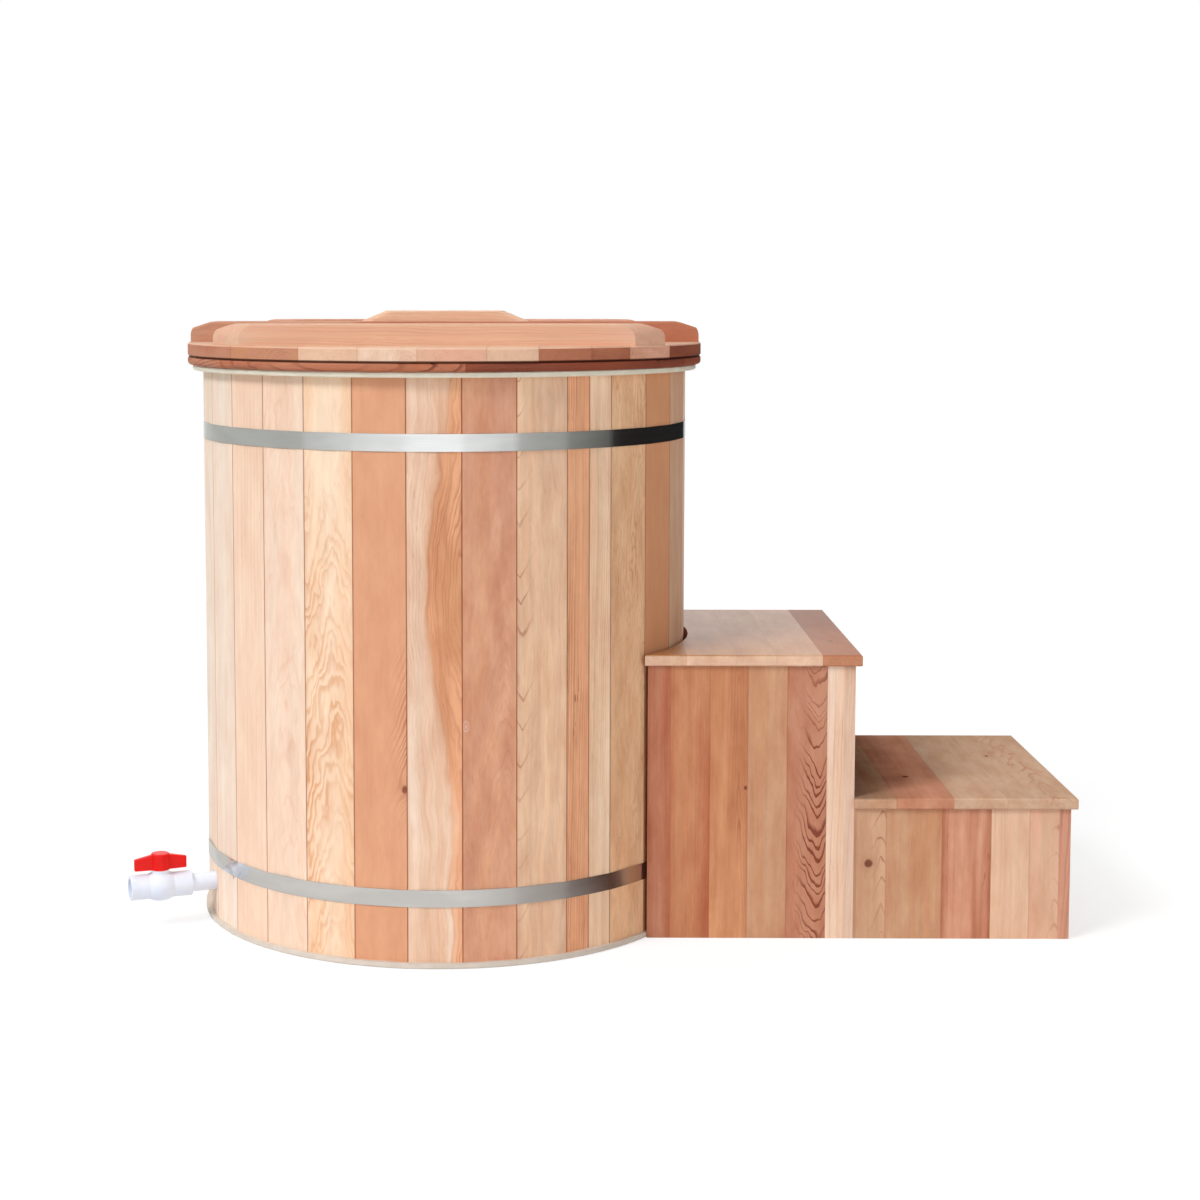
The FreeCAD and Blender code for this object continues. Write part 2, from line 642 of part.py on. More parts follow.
def drain_fitting():
    """Fitting through the liner: grated flange inside, threaded shank outside."""
    face = rod(DRAIN_FLANGE_RADIUS, on_drain(DRAIN_FLANGE_FRONT), on_drain(DRAIN_FLANGE_BACK))
    face_edges = [edge for edge in face.Edges if edge.BoundBox.XMax < DRAIN_FLANGE_FRONT + 0.001]
    face = face.makeFillet(DRAIN_FLANGE_ROUND, face_edges)
    shank = rod(DRAIN_SHANK_DIAMETER / 2, on_drain(DRAIN_FLANGE_BACK), on_drain(DRAIN_SHANK_END))
    bore_radius = PIPE_RADIUS - PIPE_WALL
    bore = rod(bore_radius, on_drain(DRAIN_FLANGE_FRONT + DRAIN_GRATE_THICKNESS), on_drain(PIPE_START))
    socket_radius = PIPE_RADIUS + PIPE_SOCKET_CLEARANCE
    socket = rod(socket_radius, on_drain(PIPE_START), on_drain(DRAIN_SHANK_END + PAST))
    grate_limits = (DRAIN_FLANGE_FRONT - PAST, DRAIN_FLANGE_FRONT + DRAIN_GRATE_THICKNESS + PAST)
    cutters = [bore, socket]
    hole_centres = [ORIGIN]
    for index in range(DRAIN_GRATE_HOLES):
        angle = math.radians(360.0 * index / DRAIN_GRATE_HOLES)
        hole_centres.append(Vector(0, math.cos(angle), math.sin(angle)) * DRAIN_GRATE_PITCH_RADIUS)
    for centre in hole_centres:
        start = on_drain(grate_limits[0]) + centre
        end = on_drain(grate_limits[1]) + centre
        cutters.append(rod(DRAIN_GRATE_HOLE / 2, start, end))
    return at_bearing(face.fuse(shank).cut(cutters), DRAIN_BEARING)


def drain_gasket():
    """Soft ring between the drain flange and the liner's pad."""
    hole_radius = DRAIN_SHANK_DIAMETER / 2 + DRAIN_SHANK_CLEARANCE
    ring = rod(DRAIN_FLANGE_RADIUS, on_drain(DRAIN_FLANGE_BACK), on_drain(DRAIN_PAD_INNER_FACE))
    hole = rod(hole_radius, on_drain(DRAIN_FLANGE_FRONT), on_drain(LINER_OUTER))
    return at_bearing(ring.cut(hole), DRAIN_BEARING)


def drain_locknut():
    """Hexagonal nut that clamps the fitting from outside the liner."""
    bore_radius = DRAIN_SHANK_DIAMETER / 2 + NUT_THREAD_CLEARANCE
    nut = hexagon(LOCKNUT_HEX, on_drain(DRAIN_PAD_OUTER_FACE), ALONG_X * LOCKNUT_THICKNESS, UP)
    bore = rod(bore_radius, on_drain(LINER_INNER), on_drain(DRAIN_SHANK_END))
    return at_bearing(nut.cut(bore), DRAIN_BEARING)


def drain_pipe():
    """Pipe from the fitting, through the stave, into the inner socket of the valve."""
    end = VALVE_START + VALVE_SOCKET_DEPTH
    outside = rod(PIPE_RADIUS, on_drain(PIPE_START), on_drain(end))
    inside = rod(PIPE_RADIUS - PIPE_WALL, on_drain(PIPE_START - PAST), on_drain(end + PAST))
    return at_bearing(outside.cut(inside), DRAIN_BEARING)


def on_valve(offset, height=0.0):
    """Point in the valve's upright middle plane, from the middle of the ball."""
    return Vector(VALVE_MIDDLE + offset, 0, DRAIN_HEIGHT + height)


def seat_inner_radius():
    """Radius of the hole in a ball seat, which is the water way through the valve."""
    return BALL_BORE / 2


def seat_start():
    """How far from the middle of the ball the seats start."""
    outer = seat_inner_radius() + SEAT_WIDTH
    reach = BALL_RADIUS + SEAT_CLEARANCE
    inner_touch = math.sqrt(reach ** 2 - seat_inner_radius() ** 2)
    outer_touch = math.sqrt(reach ** 2 - outer ** 2)
    return (inner_touch + outer_touch) / 2


def stem_levels():
    """Heights above the ball's middle: tang foot, collar foot, collar top and seal top."""
    tang_foot = BALL_RADIUS - TANG_DEPTH + TANG_CLEARANCE
    collar_foot = BALL_RADIUS + TANG_CLEARANCE
    collar_top = collar_foot + STEM_COLLAR_THICKNESS
    return tang_foot, collar_foot, collar_top, collar_top + STEM_SEAL_THICKNESS


def valve_body():
    """Moulded body: two pipe sockets, a bulge round the ball and a neck for the stem."""
    half = VALVE_LENGTH / 2
    socket_radius = VALVE_SOCKET_DIAMETER / 2
    bulge_half = VALVE_BULGE_LENGTH / 2
    bulge_left = on_valve(-bulge_half, socket_radius)
    bulge_right = on_valve(bulge_half, socket_radius)
    bulge_crown = on_valve(0, VALVE_BULGE_DIAMETER / 2)
    outline = Part.Wire([
        Part.makeLine(on_valve(-half), on_valve(-half, socket_radius)),
        Part.makeLine(on_valve(-half, socket_radius), bulge_left),
        Part.Arc(bulge_left, bulge_crown, bulge_right).toShape(),
        Part.makeLine(bulge_right, on_valve(half, socket_radius)),
        Part.makeLine(on_valve(half, socket_radius), on_valve(half)),
        Part.makeLine(on_valve(half), on_valve(-half)),
    ])
    body = Part.Face(outline).revolve(on_valve(0), ALONG_X, 360)
    neck = rod(VALVE_NECK_DIAMETER / 2, on_valve(0), on_valve(0, VALVE_NECK_HEIGHT))
    seat_outer = seat_inner_radius() + SEAT_WIDTH + SEAT_CLEARANCE
    seat_end = seat_start() + SEAT_LENGTH + SEAT_CLEARANCE
    pipe_room = PIPE_RADIUS + PIPE_SOCKET_CLEARANCE
    collar_room = STEM_COLLAR_DIAMETER / 2 + STEM_RUNNING_CLEARANCE
    stem_room = STEM_DIAMETER / 2 + STEM_RUNNING_CLEARANCE
    seal_top = stem_levels()[3]
    cutters = [
        rod(BALL_RADIUS + BALL_ROOM, on_valve(-seat_start()), on_valve(seat_start())),
        rod(seat_outer, on_valve(-seat_end), on_valve(seat_end)),
        rod(seat_inner_radius(), on_valve(-half - PAST), on_valve(half + PAST)),
        rod(pipe_room, on_valve(-half - PAST), on_valve(-half + VALVE_SOCKET_DEPTH)),
        rod(pipe_room, on_valve(half - VALVE_SOCKET_DEPTH), on_valve(half + PAST)),
        rod(collar_room, on_valve(0), on_valve(0, seal_top)),
        rod(stem_room, on_valve(0), on_valve(0, VALVE_NECK_HEIGHT + PAST)),
    ]
    rims = []
    for edge in body.Edges:
        at_end = min(abs(edge.BoundBox.XMin - on_valve(side * half).x) for side in (-1, 1)) < 0.001
        if at_end and edge.BoundBox.XLength < 0.001 and edge.BoundBox.ZLength > socket_radius:
            rims.append(edge)
    rounded = body.makeFillet(VALVE_END_ROUND, rims)
    return at_bearing(rounded.fuse(neck).cut(cutters), DRAIN_BEARING)


def valve_seals():
    """Two seats that hold the ball, and the ring that seals the stem."""
    outer = seat_inner_radius() + SEAT_WIDTH
    ball_room = Part.makeSphere(BALL_RADIUS + SEAT_CLEARANCE, on_valve(0))
    seals = []
    for side in (-1, 1):
        start = on_valve(side * seat_start())
        end = on_valve(side * (seat_start() + SEAT_LENGTH))
        water_way = rod(seat_inner_radius(), on_valve(0), end + ALONG_X * (side * PAST))
        seals.append(rod(outer, start, end).cut([ball_room, water_way]))
    collar_top, seal_top = stem_levels()[2:]
    stem_room = STEM_DIAMETER / 2 + STEM_RUNNING_CLEARANCE
    ring = rod(STEM_COLLAR_DIAMETER / 2, on_valve(0, collar_top), on_valve(0, seal_top))
    hole = rod(stem_room, on_valve(0), on_valve(0, VALVE_NECK_HEIGHT))
    seals.append(ring.cut(hole))
    return Part.makeCompound([at_bearing(seal, DRAIN_BEARING) for seal in seals])


def valve_ball():
    """Drilled ball with a slot on top for the stem's tang."""
    ball = Part.makeSphere(BALL_RADIUS, on_valve(0))
    bore = rod(BALL_BORE / 2, on_valve(-BALL_DIAMETER), on_valve(BALL_DIAMETER))
    half_thickness = TANG_THICKNESS / 2 + TANG_CLEARANCE
    half_length = TANG_LENGTH / 2 + TANG_CLEARANCE
    slot = block(
        (VALVE_MIDDLE - half_length, VALVE_MIDDLE + half_length),
        (-half_thickness, half_thickness),
        (DRAIN_HEIGHT + BALL_RADIUS - TANG_DEPTH, DRAIN_HEIGHT + BALL_RADIUS + PAST),
    )
    return at_bearing(ball.cut([bore, slot]), DRAIN_BEARING)


def stem_square(room, bottom, top):
    """Square end of the stem, or the room for it, between two heights above the ball's middle."""
    half = STEM_SQUARE / 2 + room
    x_limits = (VALVE_MIDDLE - half, VALVE_MIDDLE + half)
    return block(x_limits, (-half, half), (DRAIN_HEIGHT + bottom, DRAIN_HEIGHT + top))


def stem_top():
    """Height of the stem's end above the ball's middle."""
    return VALVE_NECK_HEIGHT + HANDLE_LIFT + HANDLE_HUB_HEIGHT - HANDLE_SOCKET_ROOF


def valve_stem():
    """Stem with a tang in the ball, a collar under the neck and a square for the handle."""
    tang_foot, collar_foot, collar_top, _ = stem_levels()
    tang = block(
        (VALVE_MIDDLE - TANG_LENGTH / 2, VALVE_MIDDLE + TANG_LENGTH / 2),
        (-TANG_THICKNESS / 2, TANG_THICKNESS / 2),
        (DRAIN_HEIGHT + tang_foot, DRAIN_HEIGHT + collar_foot),
    )
    collar = rod(STEM_COLLAR_DIAMETER / 2, on_valve(0, collar_foot), on_valve(0, collar_top))
    shaft = rod(STEM_DIAMETER / 2, on_valve(0, collar_top), on_valve(0, VALVE_NECK_HEIGHT))
    square = stem_square(0.0, VALVE_NECK_HEIGHT, stem_top())
    return at_bearing(tang.fuse([collar, shaft, square]), DRAIN_BEARING)


def valve_handle():
    """Handle with a round hub on the stem and two tapering wings in line with the open pipe."""
    hub_top = HANDLE_BOTTOM + HANDLE_HUB_HEIGHT
    hub_radius = HANDLE_HUB_DIAMETER / 2
    middle = Vector(VALVE_MIDDLE, 0, 0)
    hub = rod(hub_radius, middle + UP * HANDLE_BOTTOM, middle + UP * hub_top)
    hub_edges = [edge for edge in hub.Edges if edge.BoundBox.ZMin > hub_top - 0.001]
    hub = hub.makeFillet(HANDLE_HUB_ROUND, hub_edges)
    half = HANDLE_LENGTH / 2
    side_view = [
        (-half, HANDLE_BOTTOM),
        (half, HANDLE_BOTTOM),
        (half, HANDLE_BOTTOM + HANDLE_WING_TIP_HEIGHT),
        (hub_radius, HANDLE_BOTTOM + HANDLE_WING_ROOT_HEIGHT),
        (-hub_radius, HANDLE_BOTTOM + HANDLE_WING_ROOT_HEIGHT),
        (-half, HANDLE_BOTTOM + HANDLE_WING_TIP_HEIGHT),
    ]
    root = HANDLE_WING_ROOT_THICKNESS / 2
    tip = HANDLE_WING_TIP_THICKNESS / 2
    top_view = [(-half, -tip), (0, -root), (half, -tip), (half, tip), (0, root), (-half, tip)]
    front = [Vector(VALVE_MIDDLE + x, -root, z) for x, z in side_view]
    foot = [Vector(VALVE_MIDDLE + x, y, HANDLE_BOTTOM) for x, y in top_view]
    tall = swept_outline(front, ALONG_Y * (2 * root))
    wings = tall.common(swept_outline(foot, UP * HANDLE_HUB_HEIGHT))
    outer_edges = []
    for edge in wings.Edges:
        upper = edge.BoundBox.ZMin > HANDLE_BOTTOM + 0.001
        tip_upright = abs(edge.CenterOfMass.x - VALVE_MIDDLE) > half - 0.001
        if upper or tip_upright:
            outer_edges.append(edge)
    wings = wings.makeFillet(HANDLE_WING_ROUND, outer_edges)
    socket = stem_square(TANG_CLEARANCE, VALVE_NECK_HEIGHT - PAST, stem_top() + TANG_CLEARANCE)
    return at_bearing(hub.fuse(wings).cut(socket), DRAIN_BEARING)


def tub_room():
    """Room that the steps leave round the tub."""
    return Part.makeCylinder(STEP_CLEAR_RADIUS, UPPER_TREAD_TOP + PAST)


def tread(x_limits, top):
    """Tread board with eased top and bottom edges along its free sides."""
    half_width = STEP_OUTSIDE + STEP_SIDE_OVERHANG
    board = block(x_limits, (-half_width, half_width), (top - STEP_BOARD, top))
    free_edges = []
    for edge in board.Edges:
        at_side = abs(edge.CenterOfMass.y) > half_width - 0.001
        at_nose = edge.CenterOfMass.x > x_limits[1] - 0.001
        level = edge.BoundBox.ZLength < 0.001
        if level and (at_side and edge.BoundBox.YLength < 0.001 or at_nose):
            free_edges.append(edge)
    eased = board.makeFillet(STEP_EDGE_ROUND, free_edges)
    return without(eased, [tub_room()] + step_screw_holes())


def upper_tread():
    """Top board of the steps, scribed to the tub."""
    return tread((0, UPPER_RISER_REACH + STEP_NOSING), UPPER_TREAD_TOP)


def lower_tread():
    """Bottom tread, butted against the upper riser."""
    return tread((UPPER_RISER_REACH, LOWER_RISER_REACH + STEP_NOSING), LOWER_TREAD_TOP)


def side_panels(x_limits, top):
    """Pair of side panels that stand on the floor."""
    panel = block(x_limits, (-STEP_OUTSIDE, -STEP_INSIDE), (0, top))
    cutters = [tub_room()] + step_screw_holes()
    return Part.makeCompound([without(side, cutters) for side in both_sides([panel])])


def upper_side_panels():
    """Side panels of the upper box, scribed to the tub."""
    return side_panels((0, UPPER_RISER_REACH - STEP_BOARD), UPPER_TREAD_UNDER)


def lower_side_panels():
    """Side panels of the lower box, from the upper riser to the lower one."""
    return side_panels((UPPER_RISER_REACH, LOWER_RISER_REACH - STEP_BOARD), LOWER_TREAD_UNDER)


def riser(reach, top):
    """Upright board across the front of a box, over the ends of its side panels."""
    board = block((reach - STEP_BOARD, reach), (-STEP_OUTSIDE, STEP_OUTSIDE), (0, top))
    return without(board, step_screw_holes())


def cleat_posts():
    """Corner posts on one side: x limits, height and the riser that each is screwed to."""
    clear_of_tub = math.sqrt(STEP_CLEAR_RADIUS ** 2 - (STEP_INSIDE - CLEAT) ** 2) + CLEAT_TUB_GAP
    upper_back = UPPER_RISER_REACH - STEP_BOARD
    lower_back = LOWER_RISER_REACH - STEP_BOARD
    return [
        ((clear_of_tub, clear_of_tub + CLEAT), UPPER_TREAD_UNDER, None),
        ((upper_back - CLEAT, upper_back), UPPER_TREAD_UNDER, ALONG_X),
        ((UPPER_RISER_REACH, UPPER_RISER_REACH + CLEAT), LOWER_TREAD_UNDER, ALONG_X * -1),
        ((lower_back - CLEAT, lower_back), LOWER_TREAD_UNDER, ALONG_X),
    ]


def cleat_ledgers():
    """Ledgers under the treads on one side: x limits and top."""
    posts = cleat_posts()
    upper = (posts[0][0][1], posts[1][0][0])
    lower = (posts[2][0][1], posts[3][0][0])
    return [(upper, UPPER_TREAD_UNDER), (lower, LOWER_TREAD_UNDER)]


def cross_rails():
    """Rails under the treads from ledger to ledger: x limits and top."""
    upper_start = STEP_CLEAR_RADIUS + CLEAT_TUB_GAP
    lower_start = (UPPER_RISER_REACH + LOWER_RISER_REACH - CLEAT) / 2
    return [
        ((upper_start, upper_start + CLEAT), UPPER_TREAD_UNDER),
        ((lower_start, lower_start + CLEAT), LOWER_TREAD_UNDER),
    ]


def step_screw_places():
    """Every screw of the steps, all driven from inside: seat, direction and length."""
    length = CLEAT + SCREW_BITE
    post_inside = CLEAT - STEP_INSIDE
    post_middle = CLEAT / 2 - STEP_INSIDE
    side = []
    for x_limits, top, towards_riser in cleat_posts():
        middle = (x_limits[0] + x_limits[1]) / 2
        for height in (STEP_SCREW_FOOT, top - STEP_SCREW_HEAD_ROOM):
            side.append((Vector(middle, post_inside, height), ALONG_Y * -1, length))
        if towards_riser is None:
            continue
        start = x_limits[0] if towards_riser.x > 0 else x_limits[1]
        low = STEP_SCREW_FOOT + STEP_SCREW_STAGGER
        high = top - STEP_SCREW_HEAD_ROOM - STEP_SCREW_STAGGER
        for height in (low, high):
            side.append((Vector(start, post_middle, height), towards_riser, length))
    for x_limits, top in cleat_ledgers():
        for share in (1 / 3, 2 / 3):
            x = x_limits[0] + share * (x_limits[1] - x_limits[0])
            side.append((Vector(x, post_middle, top - CLEAT), UP, length))
    for x_limits, top in cross_rails():
        middle = (x_limits[0] + x_limits[1]) / 2
        side.append((Vector(middle, -STEP_RAIL_SCREW_SPACING / 2, top - CLEAT), UP, length))
    mirrored = []
    for seat, direction, reach in side:
        far_seat = Vector(seat.x, -seat.y, seat.z)
        far_direction = Vector(direction.x, -direction.y, direction.z)
        mirrored.append((far_seat, far_direction, reach))
    return side + mirrored


def step_screw_holes():
    """Room for every screw of the steps."""
    return [screw_hole(*screw) for screw in step_screw_places()]


def step_frame():
    """Posts, ledgers and rails inside the two boxes."""
    y_limits = (-STEP_INSIDE, CLEAT - STEP_INSIDE)
    side = []
    for x_limits, top, _ in cleat_posts():
        side.append(block(x_limits, y_limits, (0, top)))
    for x_limits, top in cleat_ledgers():
        side.append(block(x_limits, y_limits, (top - CLEAT, top)))
    bars = both_sides(side)
    for x_limits, top in cross_rails():
        inner = STEP_INSIDE - CLEAT
        bars.append(block(x_limits, (-inner, inner), (top - CLEAT, top)))
    holes = step_screw_holes()
    return Part.makeCompound([without(bar, holes) for bar in bars])


def screws(places):
    """A group of screws at the given places."""
    return Part.makeCompound([pan_screw(*place) for place in places])


def tub_parts():
    """The standing tub and its fixed drain parts."""
    parts = {
        "base_plate": base_plate(),
        "liner": liner(),
        "hoop_lower": hoop(LOWER_HOOP_HEIGHT),
        "hoop_upper": hoop(UPPER_HOOP_HEIGHT),
        "hoop_bolts": Part.makeCompound(hoop_bolt(LOWER_HOOP_HEIGHT) + hoop_bolt(UPPER_HOOP_HEIGHT)),
        "rim_ring": rim_ring(),
        "rim_screws": screws(rim_screw_places()),
        "drain_fitting": drain_fitting(),
        "drain_gasket": drain_gasket(),
        "drain_locknut": drain_locknut(),
        "drain_pipe": drain_pipe(),
        "valve_body": valve_body(),
        "valve_seals": valve_seals(),
    }
    parts.update(staves())
    return parts


def turning_parts():
    """The parts of the valve that turn together."""
    return {
        "valve_ball": valve_ball(),
        "valve_stem": valve_stem(),
        "valve_handle": valve_handle(),
    }


def lid_parts():
    """The lift-off lid."""
    parts = {
        "lid_boards": lid_boards(),
        "lid_grip": lid_grip(),
        "lid_screws": screws(lid_screw_places() + grip_screw_places()),
    }
    for name, crossing in batten_places().items():
        parts[f"lid_batten_{name}"] = batten(crossing)
    return parts


def step_parts():
    """The free-standing steps."""
    return {
        "upper_tread": upper_tread(),
        "lower_tread": lower_tread(),
        "upper_side_panels": upper_side_panels(),
        "lower_side_panels": lower_side_panels(),
        "upper_riser": riser(UPPER_RISER_REACH, UPPER_TREAD_UNDER),
        "lower_riser": riser(LOWER_RISER_REACH, LOWER_TREAD_UNDER),
        "step_frame": step_frame(),
        "step_screws": screws(step_screw_places()),
    }


os.makedirs("parts", exist_ok=True)
for group in (tub_parts(), turning_parts(), lid_parts(), step_parts()):
    for node, shape in group.items():
        shape.exportStep(f"parts/{node}.step")
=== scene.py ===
"""Looks of the cold plunge tub: cedar staves, steel hoops, moulded liner, drain valve and steps."""
import math
import random

import bpy
import numpy as np
from mathutils import Matrix, Vector


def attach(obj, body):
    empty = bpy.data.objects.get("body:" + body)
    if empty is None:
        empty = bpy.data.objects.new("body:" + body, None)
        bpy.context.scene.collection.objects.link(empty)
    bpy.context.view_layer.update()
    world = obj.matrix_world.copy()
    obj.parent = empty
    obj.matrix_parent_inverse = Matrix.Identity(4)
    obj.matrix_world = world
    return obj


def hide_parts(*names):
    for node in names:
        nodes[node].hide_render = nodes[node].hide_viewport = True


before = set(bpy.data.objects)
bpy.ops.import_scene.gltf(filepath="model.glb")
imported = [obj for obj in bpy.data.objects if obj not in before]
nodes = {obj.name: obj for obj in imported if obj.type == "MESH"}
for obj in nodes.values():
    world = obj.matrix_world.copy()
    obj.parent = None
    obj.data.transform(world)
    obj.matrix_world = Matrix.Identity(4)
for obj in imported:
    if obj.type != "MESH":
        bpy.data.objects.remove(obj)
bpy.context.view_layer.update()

# Base plate and liner
# Both are moulded in cream plastic: a plate that the staves stand on, and a tub whose lip turns
# out over the tops of the staves. The plastic is satin, a little uneven and slightly yellowed.


def linear(tone):
    """Linear light of a tone on the 0 to 255 scale of a paint card, by the curve that screens use."""
    share = tone / 255
    return share / 12.92 if share <= 0.04 else ((share + 0.055) / 1.055) ** 2.4


def paint(red, green, blue):
    """Linear colour of three tones of a paint card."""
    return tuple(linear(tone) for tone in (red, green, blue))


def feed(tree, socket, value):
    """Links a socket to another node's output, or sets its value; a colour gets its alpha."""
    if isinstance(value, bpy.types.NodeSocket):
        tree.links.new(value, socket)
    elif socket.type == "RGBA":
        socket.default_value = (*value, 1.0)
    else:
        socket.default_value = value


def add(tree, kind, sockets=(), **settings):
    """Adds a shader node with settings, and feeds its sockets by name or place."""
    made = tree.nodes.new("ShaderNode" + kind)
    for name, value in settings.items():
        setattr(made, name, value)
    for key, value in dict(sockets).items():
        feed(tree, made.inputs[key], value)
    return made


def sum_of(tree, operation, *values):
    """Result of one arithmetic step on numbers or sockets."""
    return add(tree, "Math", dict(enumerate(values)), operation=operation).outputs[0]


def blend(tree, share, first, second, blend_type="MIX"):
    """Colour that goes from the first to the second as the share goes from 0 to 1."""
    sockets = {0: share, 6: first, 7: second}
    return add(tree, "Mix", sockets, data_type="RGBA", blend_type=blend_type).outputs[2]


def ease(tree, value, low, high, start=0.0, end=1.0):
    """Smooth rise of a value from start, below low, to end, above high."""
    sockets = dict(enumerate((value, low, high, start, end)))
    return add(tree, "MapRange", sockets, interpolation_type="SMOOTHSTEP").outputs[0]


def grain_noise(tree, place, scale, detail=2.0, roughness=0.5):
    """Noise at a place, with its own number of waves a metre along each axis; gives value and colour."""
    stretched = add(tree, "VectorMath", {0: place, 1: scale}, operation="MULTIPLY").outputs[0]
    sockets = {"Vector": stretched, "Scale": 1.0, "Detail": detail, "Roughness": roughness}
    return add(tree, "TexNoise", sockets).outputs


def new_material(name):
    """Empty material with its shader and the object's coordinates."""
    material = bpy.data.materials.new(name)
    material.use_nodes = True
    tree = material.node_tree
    shader = tree.nodes["Principled BSDF"]
    place = add(tree, "TexCoord").outputs["Object"]
    return material, tree, shader, place


def dress(names, material):
    """Gives CAD pieces one material."""
    for name in names:
        nodes[name].data.materials.clear()
        nodes[name].data.materials.append(material)


DRIFT_WAVES = (30.0, 30.0, 30.0)
SKIN_WAVES = (900.0, 900.0, 900.0)


def plastic(name, colour, shade, roughness, shine=0.5):
    """Moulded plastic: a slow drift between two near tones, with a fine uneven skin."""
    material, tree, shader, place = new_material(name)
    drift = grain_noise(tree, place, DRIFT_WAVES, 3.0)["Fac"]
    skin = grain_noise(tree, place, SKIN_WAVES)["Fac"]
    feed(tree, shader.inputs["Base Color"], blend(tree, ease(tree, drift, 0.35, 0.65), colour, shade))
    feed(tree, shader.inputs["Roughness"], ease(tree, skin, 0.2, 0.8, roughness - 0.05, roughness + 0.07))
    shader.inputs["Specular IOR Level"].default_value = shine
    bump = add(tree, "Bump", {"Strength": 0.2, "Distance": 0.0002, "Height": skin})
    feed(tree, shader.inputs["Normal"], bump.outputs["Normal"])
    return material


liner_cream = plastic("liner_cream", paint(236, 230, 212), paint(228, 221, 200), roughness=0.36)
base_cream = plastic("base_cream", paint(220, 209, 198), paint(212, 201, 189), roughness=0.45, shine=0.3)
dress(["liner"], liner_cream)
dress(["base_plate"], base_cream)

# Staves
# Thirty flat boards of sawn and sanded cedar, tongued together round the liner. Boards come from
# different trees, so each has its own tone and figure; one place holds two narrow closing boards.

CEDAR = {
    "milk": paint(244, 226, 209),
    "cream": paint(246, 219, 197),
    "blush": paint(246, 213, 188),
    "peach": paint(250, 220, 192),
    "apricot": paint(246, 203, 166),
    "flame": paint(224, 160, 112),
    "biscuit": paint(236, 194, 164),
    "tan": paint(227, 185, 155),
    "sand": paint(217, 175, 144),
    "fawn": paint(201, 155, 122),
    "shell": paint(231, 174, 148),
    "salmon": paint(225, 164, 127),
    "rose": paint(213, 153, 124),
    "clay": paint(197, 138, 110),
    "honey": paint(216, 154, 112),
    "toffee": paint(204, 143, 102),
    "amber": paint(190, 124, 84),
    "russet": paint(186, 117, 87),
    "brick": paint(164, 94, 68),
    "copper": paint(182, 104, 72),
    "chestnut": paint(146, 72, 48),
    "mahogany": paint(136, 70, 50),
    "umber": paint(118, 62, 43),
    "ginger": paint(240, 176, 134),
    "wheat": paint(237, 189, 147),
    "oat": paint(206, 169, 141),
}
CEDAR_INPUTS = {
    "Centre": 0.0,
    "Half Width": 0.05,
    "Seed": 0.0,
    "Heart Across": 0.3,
    "Heart Depth": 0.05,
    "Lean": 0.01,
    "Ring Width": 0.004,
    "Late Share": 0.3,
    "Softness": 0.05,
    "Wander": 0.006,
    "Curl": 1.0,
    "Figure": 0.25,
    "Reach": 9.0,
    "Figure Along": 0.0,
    "Along Reach": 9.0,
    "Streak": 0.5,
    "Lines": 0.6,
    "Cloud": 0.6,
    "Ticks": 0.3,
    "Sap Start": 9.0,
    "Sap Figure": 0.25,
    "Knot Across": 0.0,
    "Knot Along": 9.0,
    "Knot Size": 0.004,
    "Knot Stretch": 1.5,
    "Pale": CEDAR["cream"],
    "Warm": CEDAR["blush"],
    "Late": CEDAR["salmon"],
    "Sap": CEDAR["cream"],
    "Knot Tone": CEDAR["umber"],
}
SEED_STEPS = (0.73, 1.37, 2.93)
SWAY = 4.0
DIVE = 3.0
RING_BULGE = 1.6
YEAR_WAVES = 0.31
YEAR_DRIFT = 2.2
LATE_PEAK = 0.93
SAP_EDGE = 0.009
SAP_RAGGED = 0.05
KNOT_REACH = 5.0
KNOT_RAGGED = 1.6
KNOT_RING_WAVES = 9.0
CLOUD_DEPTHS = (0.6, 1.15, 1.4)
JOINT_DARK = 0.0003
JOINT_CLEAR = 0.0018

# Waves a metre across, into and along a board
BEND_WAVES = (7.0, 7.0, 1.6)
RIPPLE_WAVES = (42.0, 42.0, 13.0)
STREAK_WAVES = (24.0, 24.0, 0.9)
PATCH_WAVES = (16.0, 16.0, 3.0)
TONE_WAVES = (8.0, 8.0, 1.5)
FIBRE_WAVES = (420.0, 420.0, 9.0)
LINE_WAVES = (110.0, 110.0, 3.0)
CLOUD_WAVES = (28.0, 28.0, 9.0)
PORE_WAVES = (240.0, 240.0, 30.0)


def axes_of(tree, place):
    """The X, Y and Z of a place."""
    return add(tree, "SeparateXYZ", {0: place}).outputs


